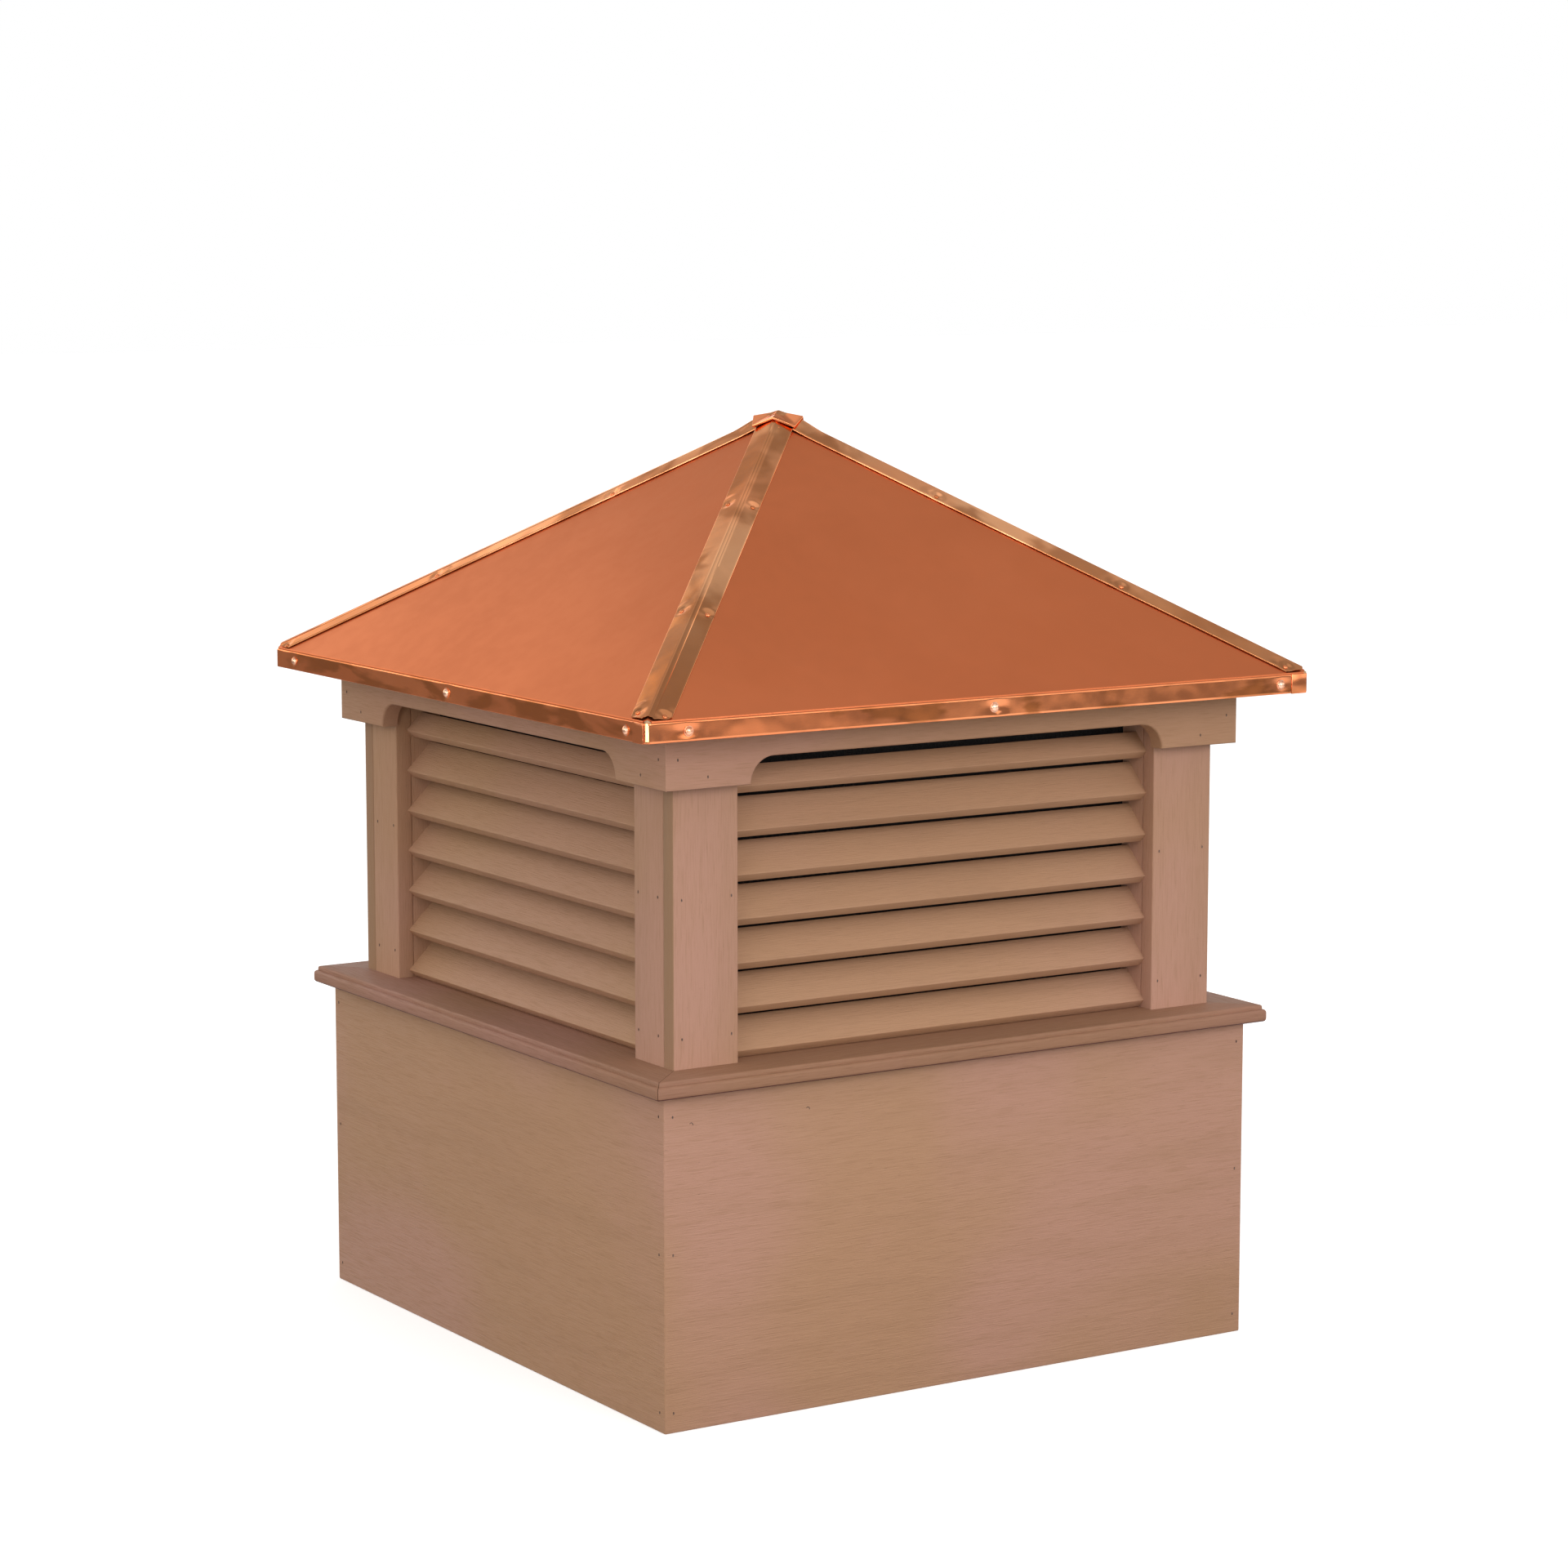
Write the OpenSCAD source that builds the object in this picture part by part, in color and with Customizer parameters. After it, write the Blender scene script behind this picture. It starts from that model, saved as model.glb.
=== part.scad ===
// Louvred roof cupola: a square base of mitred boards, a moulded sill, a louvred
// section between corner boards, a bracketed frieze and a hipped sheet metal roof.
// Units are millimetres. The origin is the centre of the base's underside, +Z is up
// and the front faces -Y. Every side piece is drawn at the front and turned round.

/* [Base] */
// Width of the square base across its outer faces
base_w = 762; // [600:1:1000]
// Height of the base boards
base_h = 360; // [250:1:500]
// Thickness of the base boards
base_t = 19; // [12:0.5:26]

/* [Sill] */
// How far the sill stands out past the base
sill_out = 19; // [8:0.5:40]
// Thickness of the sill boards
sill_t = 19; // [16:0.5:30]
// Height of the sill's upright nose, measured from its underside
nose_h = 14; // [10:0.5:15]
// Radius of the nose's upper and lower edges
nose_r = 2; // [1:0.5:4]
// How far the step over the nose is set back
step_in = 3.5; // [2:0.5:8]
// How far the sill runs in past the louvre frames
sill_inset = 10; // [2:1:20]

/* [Louvre section] */
// Setback of the corner boards behind the base's faces
louvre_set = 29.5; // [10:0.5:60]
// Height from the sill to the underside of the roof
louvre_h = 356; // [280:1:460]
// Thickness of the corner boards and head rails
corner_t = 20; // [12:0.5:26]
// Width of each corner as seen from any side
corner_w = 79.5; // [70:0.5:100]

/* [Louvres] */
// Number of slats on each side
slat_count = 7; // [5:1:9]
// Thickness of a slat
slat_t = 12.5; // [9:0.5:16]
// Slope of the slats from the level
slat_angle = 45; // [35:1:50]
// Setback of the slats' front edges behind the corner boards
slat_set = 14; // [4:0.5:24]
// Level gap between one slat's top and the next slat's bottom
slat_gap = 6.3; // [5:0.1:12]
// Level gap between the narrow top slat and the head rail
top_gap = 18.2; // [8:0.1:22]
// Thickness of the stiles that carry the slats
stile_t = 19; // [12:0.5:26]
// How far the stiles run in past the slats
stile_over = 3; // [1:0.5:10]

/* [Frieze] */
// Thickness of the frieze boards
frieze_t = 20; // [12:0.5:26]
// Height of the frieze at its lowered ends
frieze_h = 59; // [45:0.5:80]
// Length of a lowered end, from the outer corner
bracket_w = 104; // [90:0.5:130]
// Height of the long cut-out, and the radius of its ends
arch_r = 28.5; // [15:0.5:32]
// How far the head rail's underside is hidden above the cut-out
head_up = 3.5; // [0:0.5:8]

/* [Roof] */
// Overhang of the eaves past the frieze
eave_out = 56; // [20:0.5:100]
// Height of the metal band round the eaves
band_h = 23; // [18:0.5:40]
// Slope of the roof in degrees
roof_slope = 33.3; // [20:0.1:45]
// Thickness of the plywood plate under the roof
plate_t = 12.5; // [9:0.5:16]
// Thickness of the sloping plywood deck
deck_t = 12; // [9:0.5:19]
// Thickness of the sheet metal
sheet_t = 0.8; // [0.5:0.1:1.5]
// Height of the folded lower edge behind the band
hem_h = 7; // [4:0.5:12]
// Width of each side of a hip cap, measured on the slope
hip_w = 24; // [15:0.5:40]

/* [Peak cap] */
// Reach of the cap's corners down the middle of each slope, in plan
peak_reach = 35; // [28:1:50]
// Reach of the cap's folds along each hip, in plan, on each axis
peak_fold = 20.5; // [15:0.5:30]
// Height of the cap's corners above the sheets
peak_lift = 10; // [4:0.5:12]
// Drop of the cap's folds below its centre
peak_drop = 3; // [0:0.5:6]

/* [Hidden] */
SIDES = ["front", "right", "back", "left"];
HIPS = ["front_right", "back_right", "back_left", "front_left"];
$fn = 48;

// Half widths, from the centre line to the outer face of each tier
base_half = base_w / 2;
sill_half = base_half + sill_out;
louvre_half = base_half - louvre_set;
frieze_half = louvre_half + frieze_t;
eave_half = frieze_half + eave_out;
plate_half = eave_half - 2 * sheet_t;
reach = 2 * eave_half;

// Levels
sill_top = base_h + sill_t;
eave_z = sill_top + louvre_h;
frieze_z = eave_z - frieze_h;
arch_z = frieze_z + arch_r;
head_z = arch_z + head_up;
plate_top = eave_z + plate_t;
band_top = eave_z + band_h;
rise = tan(roof_slope);
apex_z = band_top + eave_half * rise;

// Louvres: the pitch fills the height between the sill and the head rail
opening_half = louvre_half - corner_w;
slat_pitch = (head_z - sill_top) / slat_count;
slat_foot = slat_t * cos(slat_angle);
slat_rise = slat_pitch - slat_gap - slat_foot;
top_rise = slat_pitch - top_gap - slat_foot;
slat_depth = slat_t * sin(slat_angle) + slat_rise / tan(slat_angle);
stile_back = slat_set + slat_depth + stile_over;
stile_d = stile_back - corner_t;
sill_inner = louvre_half - stile_back - sill_inset;
arch_half = frieze_half - bracket_w;

// Height of the roof's outer face at a distance from the centre, less a depth
// measured square to the slope
function roof_z(d, depth) = apex_z - d * rise - depth / cos(roof_slope);

// Plan width of a hip cap's side: the slope's face meets the hip at an angle
hip_run = sqrt(2 + rise * rise);
hip_plan = hip_w / sqrt(2) / sqrt(1 - 1 / (hip_run * hip_run));

wood_colour = [0.67, 0.52, 0.40];
edge_colour = [0.58, 0.44, 0.33];
plywood_colour = [0.76, 0.63, 0.46];
copper_colour = [0.73, 0.42, 0.28];
trim_colour = [0.62, 0.36, 0.20];

// Turns a front piece to another side: 0 front, 1 right, 2 back, 3 left
module turned(side) {
    rotate([0, 0, 90 * side]) children();
}

// Runs an outline along the front: its x is the distance out from the centre
module run(length) {
    rotate([90, 0, 90])
        linear_extrude(length, center = true)
            mirror([1, 0]) children();
}

// The quarter of the plan that belongs to the front, up to the mitres
module front_quarter() {
    translate([0, 0, -1])
        linear_extrude(apex_z + 100)
            polygon([[0, 0], [-reach, -reach], [reach, -reach]]);
}

// A front run cut at 45 degrees where it meets its neighbours
module mitred_run() {
    intersection() {
        run(2 * reach) children();
        front_quarter();
    }
}

module base_board() {
    color(wood_colour)
        mitred_run()
            translate([base_half - base_t, 0]) square([base_t, base_h]);
}

// Nose with rounded edges, a small step, and a level top
module sill_outline() {
    translate([sill_inner, 0]) {
        square([sill_half - nose_r - sill_inner, nose_h]);
        square([sill_half - step_in - sill_inner, sill_t]);
        translate([0, nose_r]) square([sill_half - sill_inner, nose_h - 2 * nose_r]);
    }
    for (edge = [nose_r, nose_h - nose_r])
        translate([sill_half - nose_r, edge]) circle(r = nose_r);
}

module sill_board() {
    color(wood_colour)
        translate([0, 0, base_h])
            mitred_run() sill_outline();
}

// The front and back boards run to the corner; the side boards butt behind them
module corner_boards(side) {
    outer = side % 2 == 0 ? louvre_half : louvre_half - corner_t;
    color(wood_colour)
        for (end = [-1, 1])
            translate([end > 0 ? opening_half : -outer, -louvre_half, sill_top])
                cube([outer - opening_half, corner_t, louvre_h]);
}

// Two upright stiles behind the corner boards, flush with their inner edges
module stiles() {
    color(edge_colour)
        intersection() {
            for (end = [0, 1])
                mirror([end, 0, 0])
                    translate([opening_half, -louvre_half + corner_t, sill_top])
                        cube([stile_t, stile_d, louvre_h]);
            front_quarter();
        }
}

// One slat in section, with its lowest corner at the origin and its front edge
// cut square; it climbs inwards
module slat_outline(climb) {
    width = climb / sin(slat_angle);
    rotate(180 - slat_angle)
        translate([0, -slat_t]) square([width, slat_t]);
}

module slats() {
    nose = louvre_half - slat_set - slat_t * sin(slat_angle);
    color(wood_colour)
        for (k = [0 : slat_count - 1])
            translate([0, 0, sill_top + k * slat_pitch])
                run(2 * opening_half)
                    translate([nose, 0])
                        slat_outline(k < slat_count - 1 ? slat_rise : top_rise);
}

module head_rail() {
    color(edge_colour)
        translate([-opening_half, -louvre_half, head_z])
            cube([2 * opening_half, corner_t, eave_z - head_z]);
}

// The long cut-out has a quarter circle at each end and is open below
module frieze_board() {
    color(wood_colour)
        intersection() {
            translate([0, -louvre_half, 0]) rotate([90, 0, 0])
                    linear_extrude(frieze_t)
                        difference() {
                            translate([-frieze_half, frieze_z])
                                square([2 * frieze_half, frieze_h]);
                            translate([-arch_half, frieze_z - 1])
                                square([2 * arch_half, 1]);
                            translate([-arch_half + arch_r, frieze_z - 1])
                                square([2 * (arch_half - arch_r), arch_r + 1]);
                            for (end = [-1, 1])
                                translate([end * (arch_half - arch_r), frieze_z])
                                    circle(r = arch_r);
                        }
            front_quarter();
        }
}

// Plywood plate with a square hole over the louvred section
module roof_plate() {
    hole_half = sill_inner;
    color(plywood_colour)
        translate([0, 0, eave_z])
            difference() {
                translate([-plate_half, -plate_half, 0])
                    cube([2 * plate_half, 2 * plate_half, plate_t]);
                translate([-hole_half, -hole_half, -1])
                    cube([2 * hole_half, 2 * hole_half, plate_t + 2]);
            }
}

// A layer of the slope from one depth to another, out to a distance and cut
// off level at its foot
module slope_outline(outer_depth, inner_depth, out, foot_z) {
    foot_in = (roof_z(0, inner_depth) - foot_z) / rise;
    polygon([[0, roof_z(0, outer_depth)],
             [out, roof_z(out, outer_depth)],
             [out, max(foot_z, roof_z(out, inner_depth))],
             [min(out, foot_in), max(foot_z, roof_z(out, inner_depth))],
             [0, roof_z(0, inner_depth)]]);
}

module deck_panel() {
    color(plywood_colour)
        mitred_run()
            slope_outline(sheet_t, sheet_t + deck_t, plate_half, plate_top);
}

module roof_sheet() {
    color(copper_colour)
        mitred_run()
            slope_outline(0, sheet_t, eave_half, eave_z);
}

// Upright band with its lower edge folded up behind it
module eave_band() {
    inner = eave_half - sheet_t;
    color(trim_colour)
        mitred_run() {
            polygon([[inner, eave_z], [eave_half, eave_z],
                     [eave_half, roof_z(eave_half, sheet_t)],
                     [inner, roof_z(inner, sheet_t)]]);
            translate([plate_half, eave_z]) square([sheet_t, hem_h]);
        }
}

// Bent strip over a hip, lying on the two sheets that meet there and cut to its
// own quarter of the plan, so that the four strips meet edge to edge at the peak
module hip_cap() {
    color(trim_colour)
        intersection() {
            union() {
                mitred_run() slope_outline(-sheet_t, 0, eave_half, eave_z);
                turned(1) mitred_run() slope_outline(-sheet_t, 0, eave_half, eave_z);
            }
            rotate([0, 0, -45])
                translate([0, -hip_plan, 0])
                    cube([reach, 2 * hip_plan, apex_z + 100]);
            translate([0, -reach, 0]) cube([reach, reach, apex_z + 100]);
        }
}

// Folded cap over the peak: level folds over the hips, corners bent down to the
// slopes between them
module peak_cap() {
    top = roof_z(0, -sheet_t) + sheet_t;
    fold_z = top - peak_drop;
    corner_z = roof_z(peak_reach, 0) + peak_lift;
    rim = [for (k = [0 : 7])
        k % 2 == 0
            ? [peak_reach * cos(45 * k), peak_reach * sin(45 * k), corner_z]
            : [peak_fold * sqrt(2) * cos(45 * k), peak_fold * sqrt(2) * sin(45 * k), fold_z]];
    upper = concat([[0, 0, top]], rim);
    lower = [for (p = upper) p - [0, 0, sheet_t]];
    count = len(upper);
    color(trim_colour)
        polyhedron(
            points = concat(upper, lower),
            faces = concat(
                [for (k = [1 : 8]) [0, k % 8 + 1, k]],
                [for (k = [1 : 8]) [count, count + k, count + k % 8 + 1]],
                [for (k = [1 : 8]) [k, k % 8 + 1, count + k % 8 + 1, count + k]]));
}

for (side = [0 : 3]) {
    turned(side) base_board();
    turned(side) sill_board();
    turned(side) corner_boards(side);
    turned(side) stiles();
    turned(side) slats();
    turned(side) head_rail();
    turned(side) frieze_board();
    turned(side) deck_panel();
    turned(side) roof_sheet();
    turned(side) eave_band();
    turned(side) hip_cap();
}
roof_plate();
peak_cap();
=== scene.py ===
"""Louvred roof cupola: stained boards, fixed louvres and a hipped copper roof.

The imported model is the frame. The carpentry that hardly shows keeps its own meshes
and gets finishes. Every board, slat and sheet that shows is built anew in the same
place, with eased edges, folds, hems, dents and fasteners. Units are metres, +Z is
up and the front faces -Y.
"""

import logging
import math
from collections.abc import Callable, Iterable, Iterator
from contextlib import contextmanager
from dataclasses import dataclass
from enum import Enum

import bmesh
import bpy
from mathutils import Matrix, Vector

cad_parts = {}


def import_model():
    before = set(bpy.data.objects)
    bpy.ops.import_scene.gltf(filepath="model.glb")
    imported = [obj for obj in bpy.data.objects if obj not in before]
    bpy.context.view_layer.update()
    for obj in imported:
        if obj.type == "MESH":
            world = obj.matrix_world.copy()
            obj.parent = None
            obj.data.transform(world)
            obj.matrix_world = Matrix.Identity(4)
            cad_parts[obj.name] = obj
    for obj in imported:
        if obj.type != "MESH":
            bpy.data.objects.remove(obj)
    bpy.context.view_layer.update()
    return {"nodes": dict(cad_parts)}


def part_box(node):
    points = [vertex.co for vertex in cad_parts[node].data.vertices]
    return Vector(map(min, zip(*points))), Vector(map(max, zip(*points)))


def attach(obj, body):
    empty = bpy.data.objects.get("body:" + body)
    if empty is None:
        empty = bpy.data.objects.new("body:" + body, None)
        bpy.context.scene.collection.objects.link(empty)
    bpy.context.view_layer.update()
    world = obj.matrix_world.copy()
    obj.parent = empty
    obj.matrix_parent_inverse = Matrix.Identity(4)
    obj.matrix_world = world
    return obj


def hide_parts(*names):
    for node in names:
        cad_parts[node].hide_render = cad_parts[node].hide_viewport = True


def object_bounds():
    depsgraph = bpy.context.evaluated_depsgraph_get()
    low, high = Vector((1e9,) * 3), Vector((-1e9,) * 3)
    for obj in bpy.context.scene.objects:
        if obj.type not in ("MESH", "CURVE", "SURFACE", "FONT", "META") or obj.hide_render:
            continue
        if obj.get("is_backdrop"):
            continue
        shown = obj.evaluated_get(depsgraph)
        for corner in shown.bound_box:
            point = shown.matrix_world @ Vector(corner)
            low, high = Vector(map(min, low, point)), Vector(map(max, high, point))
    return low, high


LOG = logging.getLogger("cupola")
# A face looks straight along an axis if its normal has more than this of it.
FACING = 0.9
# Places closer than this, in metres, count as one.
SMALL = 1e-5
# A noise pattern mostly keeps between these values.
MIDDLE = (0.3, 0.7)
Colour = tuple[float, float, float]
Span = tuple[float, float]
Piece = bpy.types.Object
Point = tuple[float, float, float]
Edge = bmesh.types.BMEdge
Material = bpy.types.Material
Socket = bpy.types.NodeSocket
Test = Callable[..., bool]


class Turn(Enum):
    """A place of a repeated piece, as quarter turns round the centre line."""

    @property
    def label(self) -> str:
        """The place's name, as the nodes spell it."""
        return self.name.lower()


class Side(Turn):
    """The four sides, each with its quarter turns from the front."""

    FRONT = 0
    RIGHT = 1
    BACK = 2
    LEFT = 3


class Hip(Turn):
    """The four hips, each with its quarter turns from the front right one."""

    FRONT_RIGHT = 0
    BACK_RIGHT = 1
    BACK_LEFT = 2
    FRONT_LEFT = 3


class Grain(Enum):
    """The axis that a board's grain follows."""

    ALONG_X = 0
    ALONG_Y = 1
    ALONG_Z = 2

    def stretch(self, across: float) -> Vector:
        """Scale that squeezes a pattern across the grain.

        Args:
            across: The scale on the two axes across the grain.

        Returns:
            The scale on all three axes.
        """
        scale = Vector((across, across, across))
        scale[self.value] = 1.0
        return scale


class Element(Enum):
    """What is picked in edit mode."""

    VERT = "VERT"
    EDGE = "EDGE"
    FACE = "FACE"


# ---------------------------------------------------------------- bench tools


def take(piece: Piece) -> None:
    """Selects one piece alone and makes it the active one.

    Args:
        piece: The piece to select.
    """
    bpy.ops.object.select_all(action="DESELECT")
    piece.select_set(True)
    bpy.context.view_layer.objects.active = piece


def settle(piece: Piece) -> None:
    """Moves a piece's place, turn and scale into its mesh."""
    take(piece)
    bpy.ops.object.transform_apply(location=True, rotation=True, scale=True)


@contextmanager
def editing(piece: Piece) -> Iterator[None]:
    """Opens a piece in edit mode with nothing selected, and closes it again.

    Args:
        piece: The piece to open.

    Yields:
        Nothing, while the piece is open.
    """
    take(piece)
    bpy.ops.object.mode_set(mode="EDIT")
    bpy.ops.mesh.select_all(action="DESELECT")
    try:
        yield
    finally:
        bpy.ops.object.mode_set(mode="OBJECT")


def pick(piece: Piece, kind: Element, test: Test) -> int:
    """Selects the vertices, edges or faces that pass a test, and nothing else.

    Args:
        piece: A piece that is open in edit mode.
        kind: What is tested and selected.
        test: Says of one element whether it is selected.

    Returns:
        How many were selected.
    """
    bpy.ops.mesh.select_mode(type=kind.value)
    bpy.ops.mesh.select_all(action="DESELECT")
    mesh = bmesh.from_edit_mesh(piece.data)
    found = {
        Element.VERT: mesh.verts,
        Element.EDGE: mesh.edges,
        Element.FACE: mesh.faces,
    }[kind]
    chosen = [element for element in found if test(element)]
    for element in chosen:
        element.select_set(True)
    mesh.select_flush_mode()
    bmesh.update_edit_mesh(piece.data)
    return len(chosen)


def every(element: Edge | bmesh.types.BMFace, test: Callable[[Vector], bool]) -> bool:
    """Says whether all the corners of an edge or face pass a test of place."""
    return all(test(corner.co) for corner in element.verts)


def level(height: float) -> Callable[[Edge], bool]:
    """Makes a test for edges that lie level at a height."""
    return lambda edge: every(edge, lambda place: abs(place.z - height) < SMALL)


def run(edge: Edge) -> Vector:
    """The way from an edge's first corner to its second."""
    return edge.verts[1].co - edge.verts[0].co


def upright(edge: Edge) -> bool:
    """Says whether an edge stands upright."""
    return abs(run(edge).z) > 0.99 * run(edge).length


def made(name: str) -> Piece:
    """Names and settles the piece that was just added.

    Args:
        name: The piece's name.

    Returns:
        The piece.
    """
    piece = bpy.context.object
    piece.name = name
    settle(piece)
    return piece


def block(name: str, low: Iterable[float], high: Iterable[float]) -> Piece:
    """Adds a cube between two corners.

    Args:
        name: The new piece's name.
        low: Its lowest corner.
        high: Its highest corner.

    Returns:
        The new piece, settled at the origin.
    """
    first, last = Vector(low), Vector(high)
    bpy.ops.mesh.primitive_cube_add(size=1, location=(first + last) / 2, scale=last - first)
    return made(name)


def shape_by(piece: Piece, modifier: bpy.types.Modifier) -> None:
    """Works a modifier into a piece's mesh."""
    take(piece)
    bpy.ops.object.modifier_apply(modifier=modifier.name)


def ease(piece: Piece, test: Test, width: float, segments: int = 3) -> None:
    """Rounds the edges that pass a test.

    Args:
        piece: The piece to work on.
        test: Says of one edge whether it is rounded.
        width: How far the rounding reaches from the edge.
        segments: How many flats the rounding is made of.
    """
    with editing(piece):
        if pick(piece, Element.EDGE, test):
            bpy.ops.mesh.bevel(offset=width, segments=segments, affect="EDGES")


def cut(piece: Piece, point: Iterable[float], normal: Iterable[float], closed: bool = True) -> None:
    """Cuts off what lies beyond a plane.

    Args:
        piece: The piece to work on.
        point: A point on the plane.
        normal: The plane's normal, which points at what goes.
        closed: Whether the cut is closed with a face.
    """
    with editing(piece):
        bpy.ops.mesh.select_all(action="SELECT")
        bpy.ops.mesh.bisect(plane_co=point, plane_no=normal, use_fill=closed, clear_outer=True)


def mitre(piece: Piece, gap: float = 0.0, closed: bool = True) -> None:
    """Cuts a square piece down to its front quarter.

    Args:
        piece: A piece that goes all round the centre line.
        gap: Width of the open joint between this quarter and the next.
        closed: Whether the cuts are closed with faces.
    """
    for end in (-1, 1):
        normal = Vector((end, 1, 0)).normalized()
        cut(piece, -normal * gap / 2, normal, closed)


def press(piece: Piece, place: Vector, push: Vector, radius: float) -> None:
    """Presses a sheet in or out round the vertex nearest to a place.

    Args:
        piece: The sheet.
        place: The middle of the dent.
        push: How far and which way the middle moves.
        radius: How far the dent reaches.
    """
    with editing(piece):
        mesh = bmesh.from_edit_mesh(piece.data)
        nearest = min(mesh.verts, key=lambda vert: (vert.co - place).length)
        middle = nearest.co.copy()
        pick(piece, Element.VERT, lambda vert: (vert.co - middle).length < SMALL)
        bpy.ops.transform.translate(
            value=push,
            use_proportional_edit=True,
            proportional_edit_falloff="SMOOTH",
            proportional_size=radius,
        )


def extrude_edges(piece: Piece, test: Test, move: Vector) -> None:
    """Draws new faces out of the edges that pass a test.

    Args:
        piece: The piece to work on.
        test: Says of one edge whether it is drawn out.
        move: How far and which way.
    """
    with editing(piece):
        pick(piece, Element.EDGE, test)
        bpy.ops.mesh.extrude_edges_move(TRANSFORM_OT_translate={"value": move})


def remove_faces(piece: Piece, test: Test) -> None:
    """Deletes the faces that pass a test.

    Args:
        piece: The piece to work on.
        test: Says of one face whether it goes.
    """
    with editing(piece):
        pick(piece, Element.FACE, test)
        bpy.ops.mesh.delete(type="FACE")


def thicken(piece: Piece, thickness: float) -> None:
    """Gives an open sheet its wall, on the side away from its normals.

    Args:
        piece: The sheet.
        thickness: The wall's thickness.
    """
    with editing(piece):
        bpy.ops.mesh.select_all(action="SELECT")
        bpy.ops.mesh.remove_doubles(threshold=SMALL)
        bpy.ops.mesh.normals_make_consistent(inside=False)
    wall = piece.modifiers.new("wall", "SOLIDIFY")
    wall.thickness = thickness
    wall.offset = -1
    shape_by(piece, wall)


def smooth(piece: Piece, degrees: float = 32) -> None:
    """Shades a piece smooth but for folds sharper than an angle."""
    take(piece)
    bpy.ops.object.shade_smooth_by_angle(angle=math.radians(degrees))


def copied(piece: Piece, name: str, place: Matrix) -> Piece:
    """Copies a piece with its own mesh and settles the copy at a place.

    Args:
        piece: The piece to copy.
        name: The copy's name.
        place: The matrix that moves the copy away from the piece.

    Returns:
        The copy.
    """
    copy = piece.copy()
    copy.data = piece.data.copy()
    copy.name = name
    bpy.context.scene.collection.objects.link(copy)
    copy.matrix_world = place @ piece.matrix_world
    settle(copy)
    return copy


def turned(piece: Piece, name: str, quarters: int) -> Piece:
    """Copies a piece round the centre line by a number of quarter turns."""
    return copied(piece, name, Matrix.Rotation(quarters * math.pi / 2, 4, "Z"))


def joined(name: str, pieces: list[Piece]) -> Piece:
    """Joins pieces into the first of them and renames it.

    Args:
        name: The joined piece's name.
        pieces: The pieces to join.

    Returns:
        The joined piece.
    """
    take(pieces[0])
    for piece in pieces[1:]:
        piece.select_set(True)
    if len(pieces) > 1:
        bpy.ops.object.join()
    pieces[0].name = name
    return pieces[0]


def stamped(pattern: Piece, name: str, places: Iterable[Matrix]) -> Piece:
    """Copies a pattern piece to each place, joins the copies and drops the pattern.

    Args:
        pattern: The piece to copy.
        name: The joined piece's name.
        places: One matrix for each copy.

    Returns:
        The joined piece.
    """
    copies = [copied(pattern, f"{name}_{number}", place) for number, place in enumerate(places)]
    bpy.data.objects.remove(pattern)
    return joined(name, copies)


def standing(place: Vector, outward: Vector) -> Matrix:
    """The matrix that stands a pattern piece, made along +Z, out of a surface."""
    return Matrix.Translation(place) @ outward.to_track_quat("Z", "Y").to_matrix().to_4x4()


def publish(piece: Piece, material: Material, slot: str, *nodes: str) -> None:
    """Dresses a finished piece, attaches it to the root body and hides the nodes it stands for.

    Args:
        piece: The finished piece.
        material: Its finish.
        slot: The record's material slot, or nothing if none fits. Not used.
        nodes: The nodes that it stands for.
    """
    piece.data.name = piece.name
    piece.data.materials.clear()
    piece.data.materials.append(material)
    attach(piece, "root")
    if nodes:
        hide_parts(*nodes)
    LOG.info("built %s with %d faces", piece.name, len(piece.data.polygons))


def paint(piece: Piece, material: Material, test: Test) -> None:
    """Gives the faces of a published piece that pass a test a second finish.

    Args:
        piece: The published piece.
        material: The second finish.
        test: Says of one face whether it gets the finish.
    """
    piece.data.materials.append(material)
    take(piece)
    piece.active_material_index = 1
    with editing(piece):
        pick(piece, Element.FACE, test)
        bpy.ops.object.material_slot_assign()


def publish_round(
    first: Piece,
    places: type[Turn],
    stem: str,
    materials: list[Material],
    slot: str,
    node_stem: str = "",
) -> list[Piece]:
    """Turns a piece to all four sides or hips and publishes the four.

    Args:
        first: The front piece, or the front right hip's.
        places: The sides or the hips.
        stem: The first part of the pieces' names.
        materials: The finishes, taken in turn.
        slot: The record's material slot, or nothing if none fits.
        node_stem: The first part of the replaced nodes' names, if there are any.

    Returns:
        The four pieces.
    """
    pieces = [first, *(turned(first, stem, place.value) for place in places if place.value)]
    for place, piece in zip(places, pieces):
        piece.name = f"{stem}_{place.label}"
        nodes = [f"{node_stem}_{place.label}"] if node_stem else []
        publish(piece, materials[place.value % len(materials)], slot, *nodes)
    return pieces


# -------------------------------------------------------------------- finishes


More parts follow.
